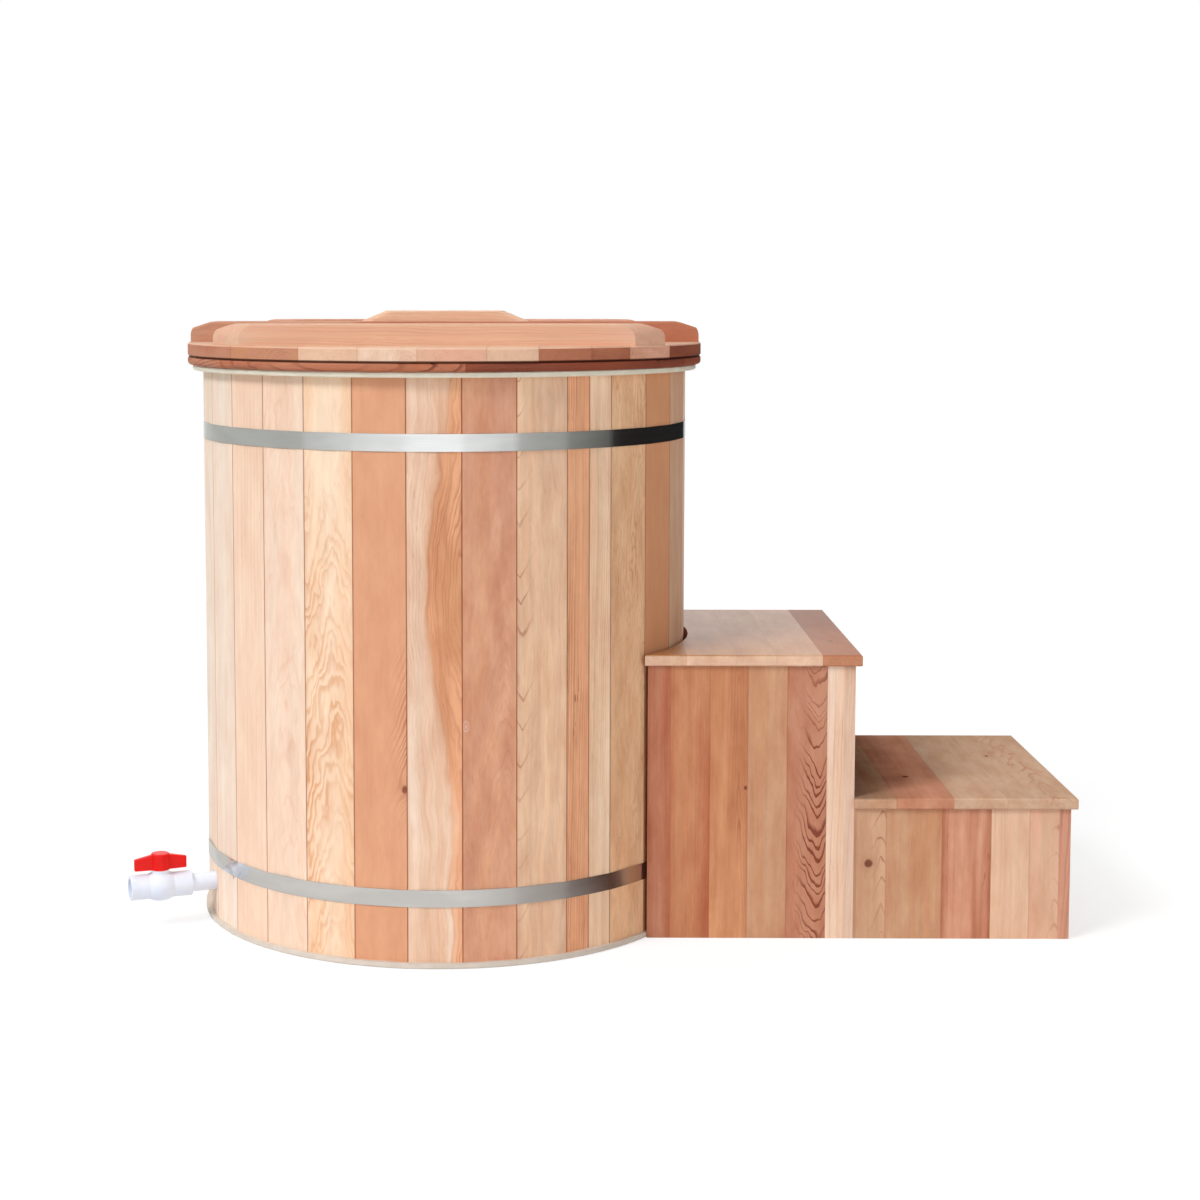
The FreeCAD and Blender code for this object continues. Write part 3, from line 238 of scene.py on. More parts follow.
def cedar_group():
    """Node group of sawn cedar. Board coordinates are across the face, into it and along the grain.

    The ring distance is the distance from the heart of the tree, plus the lean times the length
    along the board, plus slow and quick noise and a bulge round the knot. Divided by the ring width
    it gives the ring, and the last share of each ring is the dark late wood, which fades with the
    reach from the heart and with the length along the board from where the figure is strongest.
    Past the sap's start the tone is another.
    """
    tree = bpy.data.node_groups.new("cedar", "ShaderNodeTree")
    face = tree.interface
    face.new_socket("Board", in_out="INPUT", socket_type="NodeSocketVector")
    for name, value in CEDAR_INPUTS.items():
        kind = "NodeSocketColor" if isinstance(value, tuple) else "NodeSocketFloat"
        face.new_socket(name, in_out="INPUT", socket_type=kind)
    face.new_socket("Color", in_out="OUTPUT", socket_type="NodeSocketColor")
    for name in ("Relief", "Roughness", "Joint"):
        face.new_socket(name, in_out="OUTPUT", socket_type="NodeSocketFloat")
    given = tree.nodes.new("NodeGroupInput").outputs

    def calc(operation, *values):
        return sum_of(tree, operation, *values)

    def about_zero(noise):
        return calc("SUBTRACT", noise, 0.5)

    def squares(first, second):
        return calc("ADD", calc("MULTIPLY", first, first), calc("MULTIPLY", second, second))

    place = axes_of(tree, given["Board"])
    across = calc("SUBTRACT", place["X"], given["Centre"])
    along = place["Z"]
    seed = given["Seed"]
    steps = [calc("MULTIPLY", seed, step) for step in SEED_STEPS]
    offset = add(tree, "CombineXYZ", dict(enumerate(steps))).outputs[0]
    own = add(tree, "VectorMath", {0: given["Board"], 1: offset}, operation="ADD").outputs[0]

    # Slow bends of the trunk and small ripples, which move the rings and the fibres about
    bends = grain_noise(tree, own, BEND_WAVES)
    bend = add(tree, "SeparateColor", {0: bends["Color"]}).outputs
    ripples = about_zero(grain_noise(tree, own, RIPPLE_WAVES)["Fac"])
    wander = given["Wander"]
    sway = calc("MULTIPLY", about_zero(bend["Red"]), calc("MULTIPLY", wander, SWAY))
    dive = calc("MULTIPLY", about_zero(bend["Green"]), calc("MULTIPLY", wander, DIVE))
    ripple = calc("MULTIPLY", ripples, calc("MULTIPLY", wander, given["Curl"]))
    aside = add(tree, "CombineXYZ", {0: calc("ADD", sway, ripple)}).outputs[0]
    swept = add(tree, "VectorMath", {0: own, 1: aside}, operation="ADD").outputs[0]

    # Distance from the knot in knot sizes, stretched along the grain
    knot_size = given["Knot Size"]
    knot_x = calc("DIVIDE", calc("SUBTRACT", across, given["Knot Across"]), knot_size)
    knot_length = calc("MULTIPLY", knot_size, given["Knot Stretch"])
    knot_z = calc("DIVIDE", calc("SUBTRACT", along, given["Knot Along"]), knot_length)
    knot_square = squares(knot_x, knot_z)
    knot_far = calc("ADD", calc("SQRT", knot_square), calc("MULTIPLY", ripples, KNOT_RAGGED))
    bulge = calc("EXPONENT", calc("DIVIDE", knot_square, -KNOT_REACH))

    # Ring distance
    from_heart = calc("ADD", calc("SUBTRACT", across, given["Heart Across"]), sway)
    in_depth = calc("ADD", calc("SUBTRACT", place["Y"], given["Heart Depth"]), dive)
    radius = calc("SQRT", squares(from_heart, in_depth))
    leaning = calc("ADD", radius, calc("MULTIPLY", along, given["Lean"]))
    pushed = calc("MULTIPLY", calc("MULTIPLY", knot_size, RING_BULGE), bulge)
    distance = calc("ADD", calc("ADD", leaning, ripple), pushed)
    rings = calc("DIVIDE", distance, given["Ring Width"])

    # Years differ, so ring widths and the strength of the late wood drift from ring to ring
    year = calc("ADD", calc("MULTIPLY", rings, YEAR_WAVES), seed)
    year_sockets = {"W": year, "Scale": 1.0, "Detail": 2.0}
    years = add(tree, "TexNoise", year_sockets, noise_dimensions="1D").outputs["Fac"]
    phase = calc("FRACT", calc("ADD", rings, calc("MULTIPLY", years, YEAR_DRIFT)))
    late_start = calc("SUBTRACT", 1.0, calc("MULTIPLY", given["Late Share"], 2.0))
    rising = ease(tree, phase, late_start, LATE_PEAK)
    late_end = calc("SUBTRACT", 1.0, given["Softness"])
    late = calc("MULTIPLY", rising, ease(tree, phase, late_end, 1.0, 1.0, 0.0))
    streaks = about_zero(grain_noise(tree, swept, STREAK_WAVES, 3.0)["Fac"])
    sap_sway = calc("MULTIPLY", streaks, SAP_RAGGED)
    past_sap = calc("ADD", calc("SUBTRACT", distance, given["Sap Start"]), sap_sway)
    sapwood = ease(tree, past_sap, -SAP_EDGE, SAP_EDGE)
    figure = add(tree, "Mix", {0: sapwood, 2: given["Figure"], 3: given["Sap Figure"]}).outputs[0]
    patches = grain_noise(tree, own, PATCH_WAVES)["Fac"]
    strength = calc("MULTIPLY", figure, ease(tree, patches, 0.3, 0.68, 0.15, 1.3))
    aside_share = calc("DIVIDE", from_heart, given["Reach"])
    along_share = calc("DIVIDE", calc("SUBTRACT", along, given["Figure Along"]), given["Along Reach"])
    fading = calc("EXPONENT", calc("MULTIPLY", squares(aside_share, along_share), -1.0))
    late = calc("MULTIPLY", late, calc("MULTIPLY", strength, fading))

    # Colour: long streaks between two tones, and another tone past the sap's start
    broad = about_zero(grain_noise(tree, own, TONE_WAVES)["Fac"])
    tone = calc("ADD", calc("MULTIPLY", streaks, given["Streak"]), calc("MULTIPLY", broad, 0.45))
    tone = calc("ADD", tone, calc("MULTIPLY", about_zero(years), 0.15))
    colour = blend(tree, ease(tree, tone, -0.13, 0.13), given["Pale"], given["Warm"])
    sap_tone = blend(tree, ease(tree, tone, -0.1, 0.15, 0.0, 0.8), given["Sap"], given["Late"])
    colour = blend(tree, sapwood, colour, sap_tone)

    # The knot with its rings and the darker wood round it, then the late wood
    colour = blend(tree, calc("MULTIPLY", bulge, 0.3), colour, given["Late"])
    ring_depth = ease(tree, knot_size, 0.01, 0.02, 0.78, 1.0)
    knot_wave = calc("SINE", calc("MULTIPLY", knot_far, KNOT_RING_WAVES))
    knot_rings = ease(tree, knot_wave, -0.6, 0.6, ring_depth, 1.0)
    knot_shade = add(tree, "CombineColor", {0: knot_rings, 1: knot_rings, 2: knot_rings}).outputs[0]
    knot_colour = blend(tree, 1.0, given["Knot Tone"], knot_shade, "MULTIPLY")
    knot_edge = calc("ADD", knot_far, calc("MULTIPLY", streaks, 1.5))
    colour = blend(tree, ease(tree, knot_edge, 0.7, 1.35, 0.9, 0.0), colour, knot_colour)
    colour = blend(tree, late, colour, given["Late"])

    # Fibres, fine lines, soft clouds and short dark ticks, which make the wood lighter and darker
    fibres = grain_noise(tree, swept, FIBRE_WAVES, 3.0, 0.6)["Fac"]
    lines = grain_noise(tree, swept, LINE_WAVES, 3.0)["Fac"]
    fine = calc("ADD", calc("MULTIPLY", fibres, 0.5), calc("MULTIPLY", lines, 0.5))
    cloud = about_zero(grain_noise(tree, own, CLOUD_WAVES, 4.0, 0.65)["Fac"])
    lined = calc("MULTIPLY", given["Lines"], ease(tree, fine, 0.3, 0.7, -0.1, 0.07))
    shade = calc("ADD", 1.0, lined)
    cloudy = calc("MULTIPLY", cloud, given["Cloud"])
    clouded = [calc("ADD", shade, calc("MULTIPLY", cloudy, depth)) for depth in CLOUD_DEPTHS]
    shaded = add(tree, "CombineColor", dict(enumerate(clouded))).outputs[0]
    colour = blend(tree, 1.0, colour, shaded, "MULTIPLY")
    pores = grain_noise(tree, swept, PORE_WAVES, 1.0)["Fac"]
    ticks = calc("MULTIPLY", ease(tree, pores, 0.64, 0.72), ease(tree, patches, 0.42, 0.66))
    colour = blend(tree, calc("MULTIPLY", ticks, given["Ticks"]), colour, given["Late"])

    edge = calc("SUBTRACT", given["Half Width"], calc("ABSOLUTE", across))
    out = tree.nodes.new("NodeGroupOutput").inputs
    tree.links.new(colour, out["Color"])
    relief = calc("ADD", calc("MULTIPLY", late, 0.5), calc("MULTIPLY", fibres, 0.8))
    tree.links.new(relief, out["Relief"])
    tree.links.new(ease(tree, calc("ADD", fine, late), 0.2, 1.2, 0.5, 0.66), out["Roughness"])
    tree.links.new(ease(tree, edge, JOINT_DARK, JOINT_CLEAR, 1.0, 0.0), out["Joint"])
    return tree


cedar = cedar_group()


def look(pale, warm, late, seed, **changes):
    """Values of one board: three tones by name, a seed, and what differs from the usual board."""
    values = dict(CEDAR_INPUTS)
    values.update({"Pale": CEDAR[pale], "Warm": CEDAR[warm], "Late": CEDAR[late], "Seed": seed})
    for name, value in changes.items():
        key = name.replace("_", " ").title()
        values[key] = CEDAR[value] if isinstance(value, str) else value
    return values


def board_frame(across, depth, along, origin):
    """Turn and shift from the object's coordinates to a board's: across its face, into it, along it."""
    turn = Matrix((across, depth, along))
    return turn.to_euler(), -(turn @ Vector(origin))


NO_TINT = (1.0, 1.0, 1.0)
JOINT_TINT = (0.44, 0.24, 0.17)


def cedar_boards(name, board_place, boards, joints=(), joint_strength=0.0, stain=None, bleach=None,
                 shine=0.15, polish=1.0):
    """Cedar on one board, or on several side by side with the joints between them given across them.

    Past each joint, every value of the board before it gives way to the next board's. A function given
    for the tint gives painted shade or a painted shadow at a place, and one given for the paler top
    gives the share of painted highlight there, drawn in a paler tone. Polish is a factor on the roughness.
    """
    material, tree, shader, place = new_material(name)
    turn, shift = board_place
    board = add(tree, "Mapping", {"Vector": place, "Rotation": turn, "Location": shift}).outputs[0]
    values = dict(boards[0])
    position = axes_of(tree, board)["X"]
    for joint, following in zip(joints, boards[1:]):
        past = sum_of(tree, "GREATER_THAN", position, joint)
        for key, value in following.items():
            if isinstance(value, tuple):
                values[key] = blend(tree, past, values[key], value)
            elif values[key] != value:
                values[key] = add(tree, "Mix", {0: past, 2: values[key], 3: value}).outputs[0]
    figure = add(tree, "Group", node_tree=cedar)
    feed(tree, figure.inputs["Board"], board)
    for key, value in values.items():
        feed(tree, figure.inputs[key], value)
    dark = sum_of(tree, "MULTIPLY", figure.outputs["Joint"], joint_strength)
    tint = blend(tree, dark, NO_TINT, JOINT_TINT)
    wood = figure.outputs["Color"]
    # Painted highlight: a paler tone by the share that the function gives
    if bleach:
        wood = blend(tree, bleach(tree, place), wood, CEDAR["biscuit"])
    wood = blend(tree, 1.0, wood, tint, "MULTIPLY")
    # Painted shade and painted shadow, multiplied into the wood as a tint
    if stain:
        wood = blend(tree, 1.0, wood, stain(tree, place), "MULTIPLY")
    feed(tree, shader.inputs["Base Color"], wood)
    feed(tree, shader.inputs["Roughness"], sum_of(tree, "MULTIPLY", figure.outputs["Roughness"], polish))
    shader.inputs["Specular IOR Level"].default_value = shine
    bump = add(tree, "Bump", {"Strength": 0.35, "Distance": 0.0004, "Height": figure.outputs["Relief"]})
    feed(tree, shader.inputs["Normal"], bump.outputs["Normal"])
    return material


def joined_boards(name, board_place, edges, looks, joint_strength, **finish):
    """Cedar on boards side by side between edges given across them, with a joint at each inner edge."""
    for board, left, right in zip(looks, edges, edges[1:]):
        board["Centre"] = (left + right) / 2
        board["Half Width"] = (right - left) / 2
    return cedar_boards(name, board_place, looks, edges[1:-1], joint_strength, **finish)


STAVE_COUNT = 30
STAVE_FACE = 0.45
PLACE_ANGLE = 360 / STAVE_COUNT
STAVE_HALF = STAVE_FACE * math.tan(math.radians(PLACE_ANGLE / 2))
STAVE_EDGES = [-STAVE_HALF, STAVE_HALF]
STAVE_JOINT = 0.85
UP = (0.0, 0.0, 1.0)


def outward(bearing):
    """Level direction at a bearing, in degrees from the front towards the steps."""
    angle = math.radians(bearing)
    return (math.sin(angle), -math.cos(angle), 0.0)


def sideways(bearing):
    """Level direction square to outward, towards growing bearings."""
    angle = math.radians(bearing)
    return (math.cos(angle), math.sin(angle), 0.0)


def stave_frame(bearing):
    """Board frame of the stave place that faces a bearing."""
    facing = Vector(outward(bearing))
    return board_frame(sideways(bearing), -facing, UP, facing * STAVE_FACE)


STAVE_LOOKS = {
    25: look("milk", "cream", "blush", 2.0, cloud=0.4),
    26: look("milk", "cream", "blush", 3.0, heart_across=0.2, figure=0.35, cloud=0.4, knot_across=0.03,
             knot_along=0.104, knot_size=0.002),
    27: look("blush", "blush", "flame", 4.1, heart_across=0.2, figure=0.12, cloud=0.35, ring_width=0.009),
    28: look("cream", "blush", "shell", 5.0, heart_across=0.01, heart_depth=0.03, lean=0.12,
             ring_width=0.012, wander=0.008, curl=4.0, softness=0.35, figure=0.4, cloud=0.4),
    29: look("peach", "apricot", "flame", 6.4, heart_across=0.002, heart_depth=0.02, lean=0.22,
             ring_width=0.011, wander=0.012, curl=4.0, softness=0.25, figure=1.0, late_share=0.42,
             figure_along=0.36, along_reach=0.4, cloud=0.4),
    30: look("salmon", "salmon", "russet", 7.2, heart_across=0.052, heart_depth=0.004, lean=0.4,
             ring_width=0.0065, wander=0.004, curl=3.0, figure=0.8, reach=0.022, figure_along=0.4,
             along_reach=0.14, streak=0.25, lines=0.3, cloud=0.4, ticks=0.1, knot_across=0.043,
             knot_along=0.311, knot_size=0.006, knot_tone="mahogany"),
    1: look("cream", "biscuit", "amber", 8.3, heart_across=-0.4, heart_depth=0.03, lean=0.0,
            ring_width=0.008, wander=0.008, curl=3.0, softness=0.2, figure=0.2, streak=1.0,
            sap_start=0.428, sap="ginger", sap_figure=0.8, knot_across=0.032, knot_along=0.64,
            knot_size=0.032, knot_stretch=2.8, knot_tone="honey"),
    2: look("salmon", "rose", "russet", 9.6, heart_across=0.03, heart_depth=0.01, lean=0.3,
            ring_width=0.009, curl=4.0, figure=0.5, reach=0.03, figure_along=0.36, along_reach=0.2,
            cloud=0.9, knot_across=-0.041, knot_along=0.421, knot_size=0.006, knot_tone="shell"),
    3: look("apricot", "tan", "clay", 10.4, heart_across=-0.042, heart_depth=0.003, lean=-0.6,
            ring_width=0.04, wander=0.008, curl=2.0, figure=0.75, reach=0.015, late_share=0.06,
            lines=1.0, cloud=0.7),
    5: look("wheat", "wheat", "clay", 12.3, heart_across=0.22, ring_width=0.007, wander=0.009,
            curl=5.0, softness=0.2, figure=0.5, lines=1.0, cloud=0.8),
    6: look("honey", "honey", "russet", 13.0, figure=0.1, streak=0.2, lines=0.3, cloud=0.3, ticks=0.0),
    7: look("sand", "sand", "clay", 14.5, heart_across=0.12, figure=0.35, ticks=0.8),
}
CLOSING_PLACE = 4
CLOSING_EDGES = [-STAVE_HALF, 0.0, STAVE_HALF]
CLOSING_LOOKS = [
    look("ginger", "ginger", "russet", 11.2, figure=0.55, ring_width=0.005, lines=1.0, ticks=0.9,
         cloud=0.7),
    look("peach", "apricot", "clay", 11.8, figure=0.25, lines=1.0, cloud=0.6),
]
BACK_TONES = [
    ("cream", "blush", "salmon"),
    ("tan", "sand", "rose"),
    ("salmon", "salmon", "russet"),
    ("rose", "salmon", "russet"),
    ("peach", "blush", "flame"),
    ("salmon", "honey", "amber"),
]

# Every place draws a look, and the staves at the front have their own in its stead
draw = random.Random(41)
for number in range(1, STAVE_COUNT + 1):
    node = f"stave_{number:02d}"
    board_place = stave_frame((number - 1) * PLACE_ANGLE)
    drawn = look(*draw.choice(BACK_TONES), 20.0 + number, heart_across=draw.uniform(-0.2, 0.2),
                 heart_depth=draw.uniform(0.01, 0.1), lean=draw.uniform(-0.04, 0.06),
                 ring_width=draw.uniform(0.004, 0.008), figure=draw.uniform(0.25, 0.6))
    if number == CLOSING_PLACE:
        stave_wood = joined_boards(node, board_place, CLOSING_EDGES, CLOSING_LOOKS, STAVE_JOINT)
    else:
        stave_look = STAVE_LOOKS.get(number, drawn)
        stave_wood = joined_boards(node, board_place, STAVE_EDGES, [stave_look], STAVE_JOINT)
    dress([node], stave_wood)

# Hoops
# Two flat bands of stainless strip, rolled bright, bowed a little between the joints of the staves
# and drawn tight by a bolt through two welded lugs at the back. Rolling leaves fine lines along them.

STEEL_CLOUD_WAVES = (9.0, 9.0, 30.0)
STEEL_DULL = 0.92


def steel(name, colour, roughness, line_waves):
    """Bright steel with fine lines and faint cloudy patches that are a little duller."""
    material, tree, shader, place = new_material(name)
    lines = grain_noise(tree, place, line_waves, 3.0, 0.6)["Fac"]
    clouds = grain_noise(tree, place, STEEL_CLOUD_WAVES)["Fac"]
    dull = tuple(part * STEEL_DULL for part in colour)
    feed(tree, shader.inputs["Base Color"], blend(tree, ease(tree, clouds, 0.35, 0.65), colour, dull))
    shader.inputs["Metallic"].default_value = 1.0
    feed(tree, shader.inputs["Roughness"], ease(tree, lines, 0.3, 0.7, roughness - 0.04, roughness + 0.05))
    bump = add(tree, "Bump", {"Strength": 0.12, "Distance": 0.0001, "Height": lines})
    feed(tree, shader.inputs["Normal"], bump.outputs["Normal"])
    return material


HOOP_HEIGHTS = {"hoop_lower": 0.122, "hoop_upper": 0.906}
HOOP_WIDTH = 0.03
HOOP_THICKNESS = 0.001
HOOP_BOW = 0.6
LUG_GAP = 0.024
LUG_LENGTH = 0.025
LUG_HEIGHT = 0.024
LUG_THICKNESS = 0.003
LUG_BEND = 0.005
LUG_BEND_POINTS = 9
SHARP_ANGLE = math.radians(30)


def strip(line, sides, thickness, height):
    """Corners and faces of a flat strip carried along a line in plan.

    Each point of the line gives four corners: on the line and a thickness off it to the side, at the
    bottom and the top of the strip. Four faces join each point to the next, and one closes each end.
    """
    count = len(line)
    outer = line + sides * thickness
    bottom = np.full((count, 1), height - HOOP_WIDTH / 2)
    top = np.full((count, 1), height + HOOP_WIDTH / 2)
    corners = np.stack([np.hstack([outer, bottom]), np.hstack([outer, top]), np.hstack([line, top]),
                        np.hstack([line, bottom])], axis=1).reshape(-1, 3)
    here = np.arange(count - 1)[:, None] * 4
    side = np.arange(4)
    following = (side + 1) % 4
    faces = np.stack([here + side, here + 4 + side, here + 4 + following, here + following], axis=2)
    last = 4 * (count - 1)
    ends = np.array([[0, 1, 2, 3], [last + 3, last + 2, last + 1, last]])
    return corners, np.vstack([faces.reshape(-1, 4), ends])


def band_line():
    """Line of a band round the staves, a point a degree, open at the back, and the directions out from it.

    Between two joints the distance from the middle lies between the flat face of the stave and the
    circle through the joints, by the share that the band is bowed; the place with the lugs stays flat.
    """
    start = math.degrees(math.asin(LUG_GAP / 2 / STAVE_FACE)) - 180
    bearings = np.concatenate([[start], np.arange(-178, 179), [-start]])
    turns = np.radians((bearings + PLACE_ANGLE / 2) % PLACE_ANGLE - PLACE_ANGLE / 2)
    flat = STAVE_FACE / np.cos(turns)
    round_line = STAVE_FACE / math.cos(math.radians(PLACE_ANGLE / 2))
    bow = HOOP_BOW * (np.abs(bearings) < 180 - PLACE_ANGLE / 2)
    distance = flat + (round_line - flat) * bow
    out = np.column_stack([np.sin(np.radians(bearings)), -np.cos(np.radians(bearings))])
    return out * distance[:, None], out


def lug_line():
    """Line of one lug at the back: along the band, round a quarter bend and straight out."""
    bend = np.linspace(0, math.pi / 2, LUG_BEND_POINTS)
    face = STAVE_FACE + HOOP_THICKNESS
    across = np.concatenate([[-LUG_LENGTH], -LUG_BEND * (1 - np.sin(bend)), [0]]) - LUG_GAP / 2
    out = np.concatenate([[0], LUG_BEND * (1 - np.cos(bend)), [LUG_HEIGHT]]) + face
    side_across = np.concatenate([[0], -np.sin(bend), [-1]])
    side_out = np.concatenate([[1], np.cos(bend), [0]])
    return np.column_stack([-across, out]), np.column_stack([-side_across, side_out])


def mesh_piece(name, corners, faces):
    """New object in the scene with the given corners and faces."""
    mesh = bpy.data.meshes.new(name)
    mesh.from_pydata(corners.tolist(), [], faces.tolist())
    piece = bpy.data.objects.new(name, mesh)
    bpy.context.scene.collection.objects.link(piece)
    return piece


def hoop_piece(node, height, material):
    """Band and two lugs of one hoop, in place of its CAD solid."""
    line, sides = lug_line()
    mirror = np.array([-1.0, 1.0])
    strips = [
        strip(*band_line(), HOOP_THICKNESS, height),
        strip(line, sides, LUG_THICKNESS, height),
        strip(line[::-1] * mirror, sides[::-1] * mirror, LUG_THICKNESS, height),
    ]
    counts = np.cumsum([0] + [len(corners) for corners, faces in strips])
    corners = np.vstack([corners for corners, faces in strips])
    faces = np.vstack([faces + count for (corners, faces), count in zip(strips, counts)])
    piece = mesh_piece(node + "_strap", corners, faces)
    piece.data.shade_smooth()
    piece.data.set_sharp_from_angle(angle=SHARP_ANGLE)
    piece.data.materials.append(material)
    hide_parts(node)
    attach(piece, "tub")


hoop_steel = steel("hoop_steel", paint(206, 208, 208), roughness=0.16, line_waves=(6.0, 6.0, 1800.0))
for node, height in HOOP_HEIGHTS.items():
    hoop_piece(node, height, hoop_steel)
bolt_steel = steel("bolt_steel", paint(188, 187, 182), roughness=0.3, line_waves=(700.0, 700.0, 700.0))
dress(["hoop_bolts", "rim_screws", "lid_screws", "step_screws"], bolt_steel)

# Rim
# A ring of six cedar arcs, glued end to end, rounded along its edges and screwed up through the
# liner's lip. The grain runs along each arc's chord, so the round edge cuts across the rings.

RIM_ARCS = 6
RIM_FIRST_JOINT = 6.5
RIM_RADIUS = 0.48
RIM_TOP = 1.042
RIM_LOOKS = [
    look("chestnut", "mahogany", "umber", 41.0, heart_across=0.02, heart_depth=0.2, ring_width=0.008,
         figure=0.3),
    look("brick", "chestnut", "umber", 42.5, heart_depth=0.12, ring_width=0.008, figure=0.5),
    look("russet", "brick", "umber", 43.1, heart_depth=0.2, ring_width=0.008, figure=0.5),
    look("russet", "brick", "umber", 44.9, heart_depth=0.1, ring_width=0.008, figure=0.5),
    look("russet", "clay", "mahogany", 45.3, heart_across=-0.1, heart_depth=0.15, ring_width=0.008,
         figure=0.5),
    look("russet", "copper", "umber", 46.7, heart_across=-0.25, heart_depth=0.1, ring_width=0.013,
         lean=0.03, curl=0.3, late_share=0.16, figure=0.9),
]
# Painted shade of the crevice where the lid lies on the rim, drawn into both woods
SEAM_INNER = 0.474
SEAM_OUTER = 0.4755
SEAM_CORE = 0.0012
SEAM_WIDTH = 0.0032
SEAM_STRENGTH = 0.9
SEAM_SHADE_TINT = (0.16, 0.1, 0.08)
DOWN = (0.0, 0.0, -1.0)


def seam_stain(tree, place):
    """Tint of painted shade where the lid lies on the rim: dark at the seam, fading from it."""
    spot = axes_of(tree, place)
    square = sum_of(tree, "ADD", sum_of(tree, "MULTIPLY", spot["X"], spot["X"]),
                    sum_of(tree, "MULTIPLY", spot["Y"], spot["Y"]))
    outer = ease(tree, sum_of(tree, "SQRT", square), SEAM_INNER, SEAM_OUTER)
    from_seam = sum_of(tree, "ABSOLUTE", sum_of(tree, "SUBTRACT", spot["Z"], RIM_TOP))
    near = ease(tree, from_seam, SEAM_CORE, SEAM_WIDTH, SEAM_STRENGTH, 0.0)
    return blend(tree, sum_of(tree, "MULTIPLY", outer, near), NO_TINT, SEAM_SHADE_TINT)


def by_bearing(node, materials, first, step):
    """Gives each face of a CAD piece the material of the sector that its middle lies in."""
    mesh = nodes[node].data
    middles = np.zeros(len(mesh.polygons) * 3)
    mesh.polygons.foreach_get("center", middles)
    middles = middles.reshape(-1, 3)
    bearings = np.degrees(np.arctan2(middles[:, 0], -middles[:, 1]))
    sectors = np.floor((bearings - first) / step).astype(int) % len(materials)
    mesh.materials.clear()
    for material in materials:
        mesh.materials.append(material)
    mesh.polygons.foreach_set("material_index", sectors)


# Each arc carries the painted shade of the seam under the lid
rim_materials = []
for index, arc_look in enumerate(RIM_LOOKS):
    middle = RIM_FIRST_JOINT + (index + 0.5) * 360 / RIM_ARCS
    top = Vector(outward(middle)) * RIM_RADIUS + Vector(UP) * RIM_TOP
    arc_place = board_frame(outward(middle), DOWN, sideways(middle), top)
    rim_materials.append(cedar_boards(f"rim_arc_{index + 1}", arc_place, [arc_look], stain=seam_stain))
by_bearing("rim_ring", rim_materials, RIM_FIRST_JOINT, 360 / RIM_ARCS)

# Lid
# Ten tongued cedar boards of uneven widths run from front to back under three battens, which slope
# down and round over at their ends. A grip block with sloping ends is screwed to the middle batten.

LID_TOP = 1.066
LID_EDGES = [-0.48, -0.36, -0.231, -0.127, -0.026, 0.09, 0.177, 0.267, 0.334, 0.408, 0.48]
LID_TONES = [
    ("clay", "russet", "brick"),
    ("toffee", "clay", "brick"),
    ("biscuit", "tan", "rose"),
    ("cream", "tan", "rose"),
    ("tan", "shell", "rose"),
    ("tan", "biscuit", "rose"),
    ("russet", "russet", "brick"),
    ("russet", "brick", "mahogany"),
    ("rose", "shell", "clay"),
    ("brick", "mahogany", "umber"),
]
PANEL_JOINT = 0.25
SEED_STEP = 1.7
# Painted highlight on the lid's top face and eased edge, drawn in a paler tone
HIGHLIGHT_WAVES = (9.0, 3.0, 9.0)
HIGHLIGHT_FROM = 0.0028
HIGHLIGHT_FULL = 0.0012
HIGHLIGHT_LEAST = 0.6
HIGHLIGHT_MOST = 0.85
TOWARDS_FRONT = (0.0, -1.0, 0.0)
TOWARDS_BACK = (0.0, 1.0, 0.0)
TOWARDS_STEPS = (1.0, 0.0, 0.0)


def drawn_looks(tones, first_seed, **changes):
    """Looks of boards, each with its own tones, seed and cut of the tree."""
    looks = []
    for index, board_tones in enumerate(tones):
        looks.append(look(*board_tones, first_seed + SEED_STEP * index,
                          heart_across=draw.uniform(-0.08, 0.08), heart_depth=draw.uniform(0.01, 0.08),
                          lean=draw.uniform(-0.05, 0.05), ring_width=draw.uniform(0.004, 0.008),
                          **changes))
    return looks


def top_bleach(tree, place):
    """Share of painted highlight on the lid: patchy over its top face and eased edge, none below."""
    patches = grain_noise(tree, place, HIGHLIGHT_WAVES)["Fac"]
    on_top = ease(tree, axes_of(tree, place)["Z"], LID_TOP - HIGHLIGHT_FROM, LID_TOP - HIGHLIGHT_FULL)
    return sum_of(tree, "MULTIPLY", on_top, ease(tree, patches, 0.3, 0.7, HIGHLIGHT_LEAST, HIGHLIGHT_MOST))


lid_place = board_frame(TOWARDS_STEPS, DOWN, TOWARDS_BACK, (0, 0, LID_TOP))
lid_looks = drawn_looks(LID_TONES, 51.0, figure=0.18, streak=0.3, cloud=0.15)
# The lid carries the painted shade of the seam and a painted highlight on its top
lid_wood = joined_boards("lid_boards", lid_place, LID_EDGES, lid_looks, PANEL_JOINT,
                         stain=seam_stain, bleach=top_bleach)
dress(["lid_boards"], lid_wood)

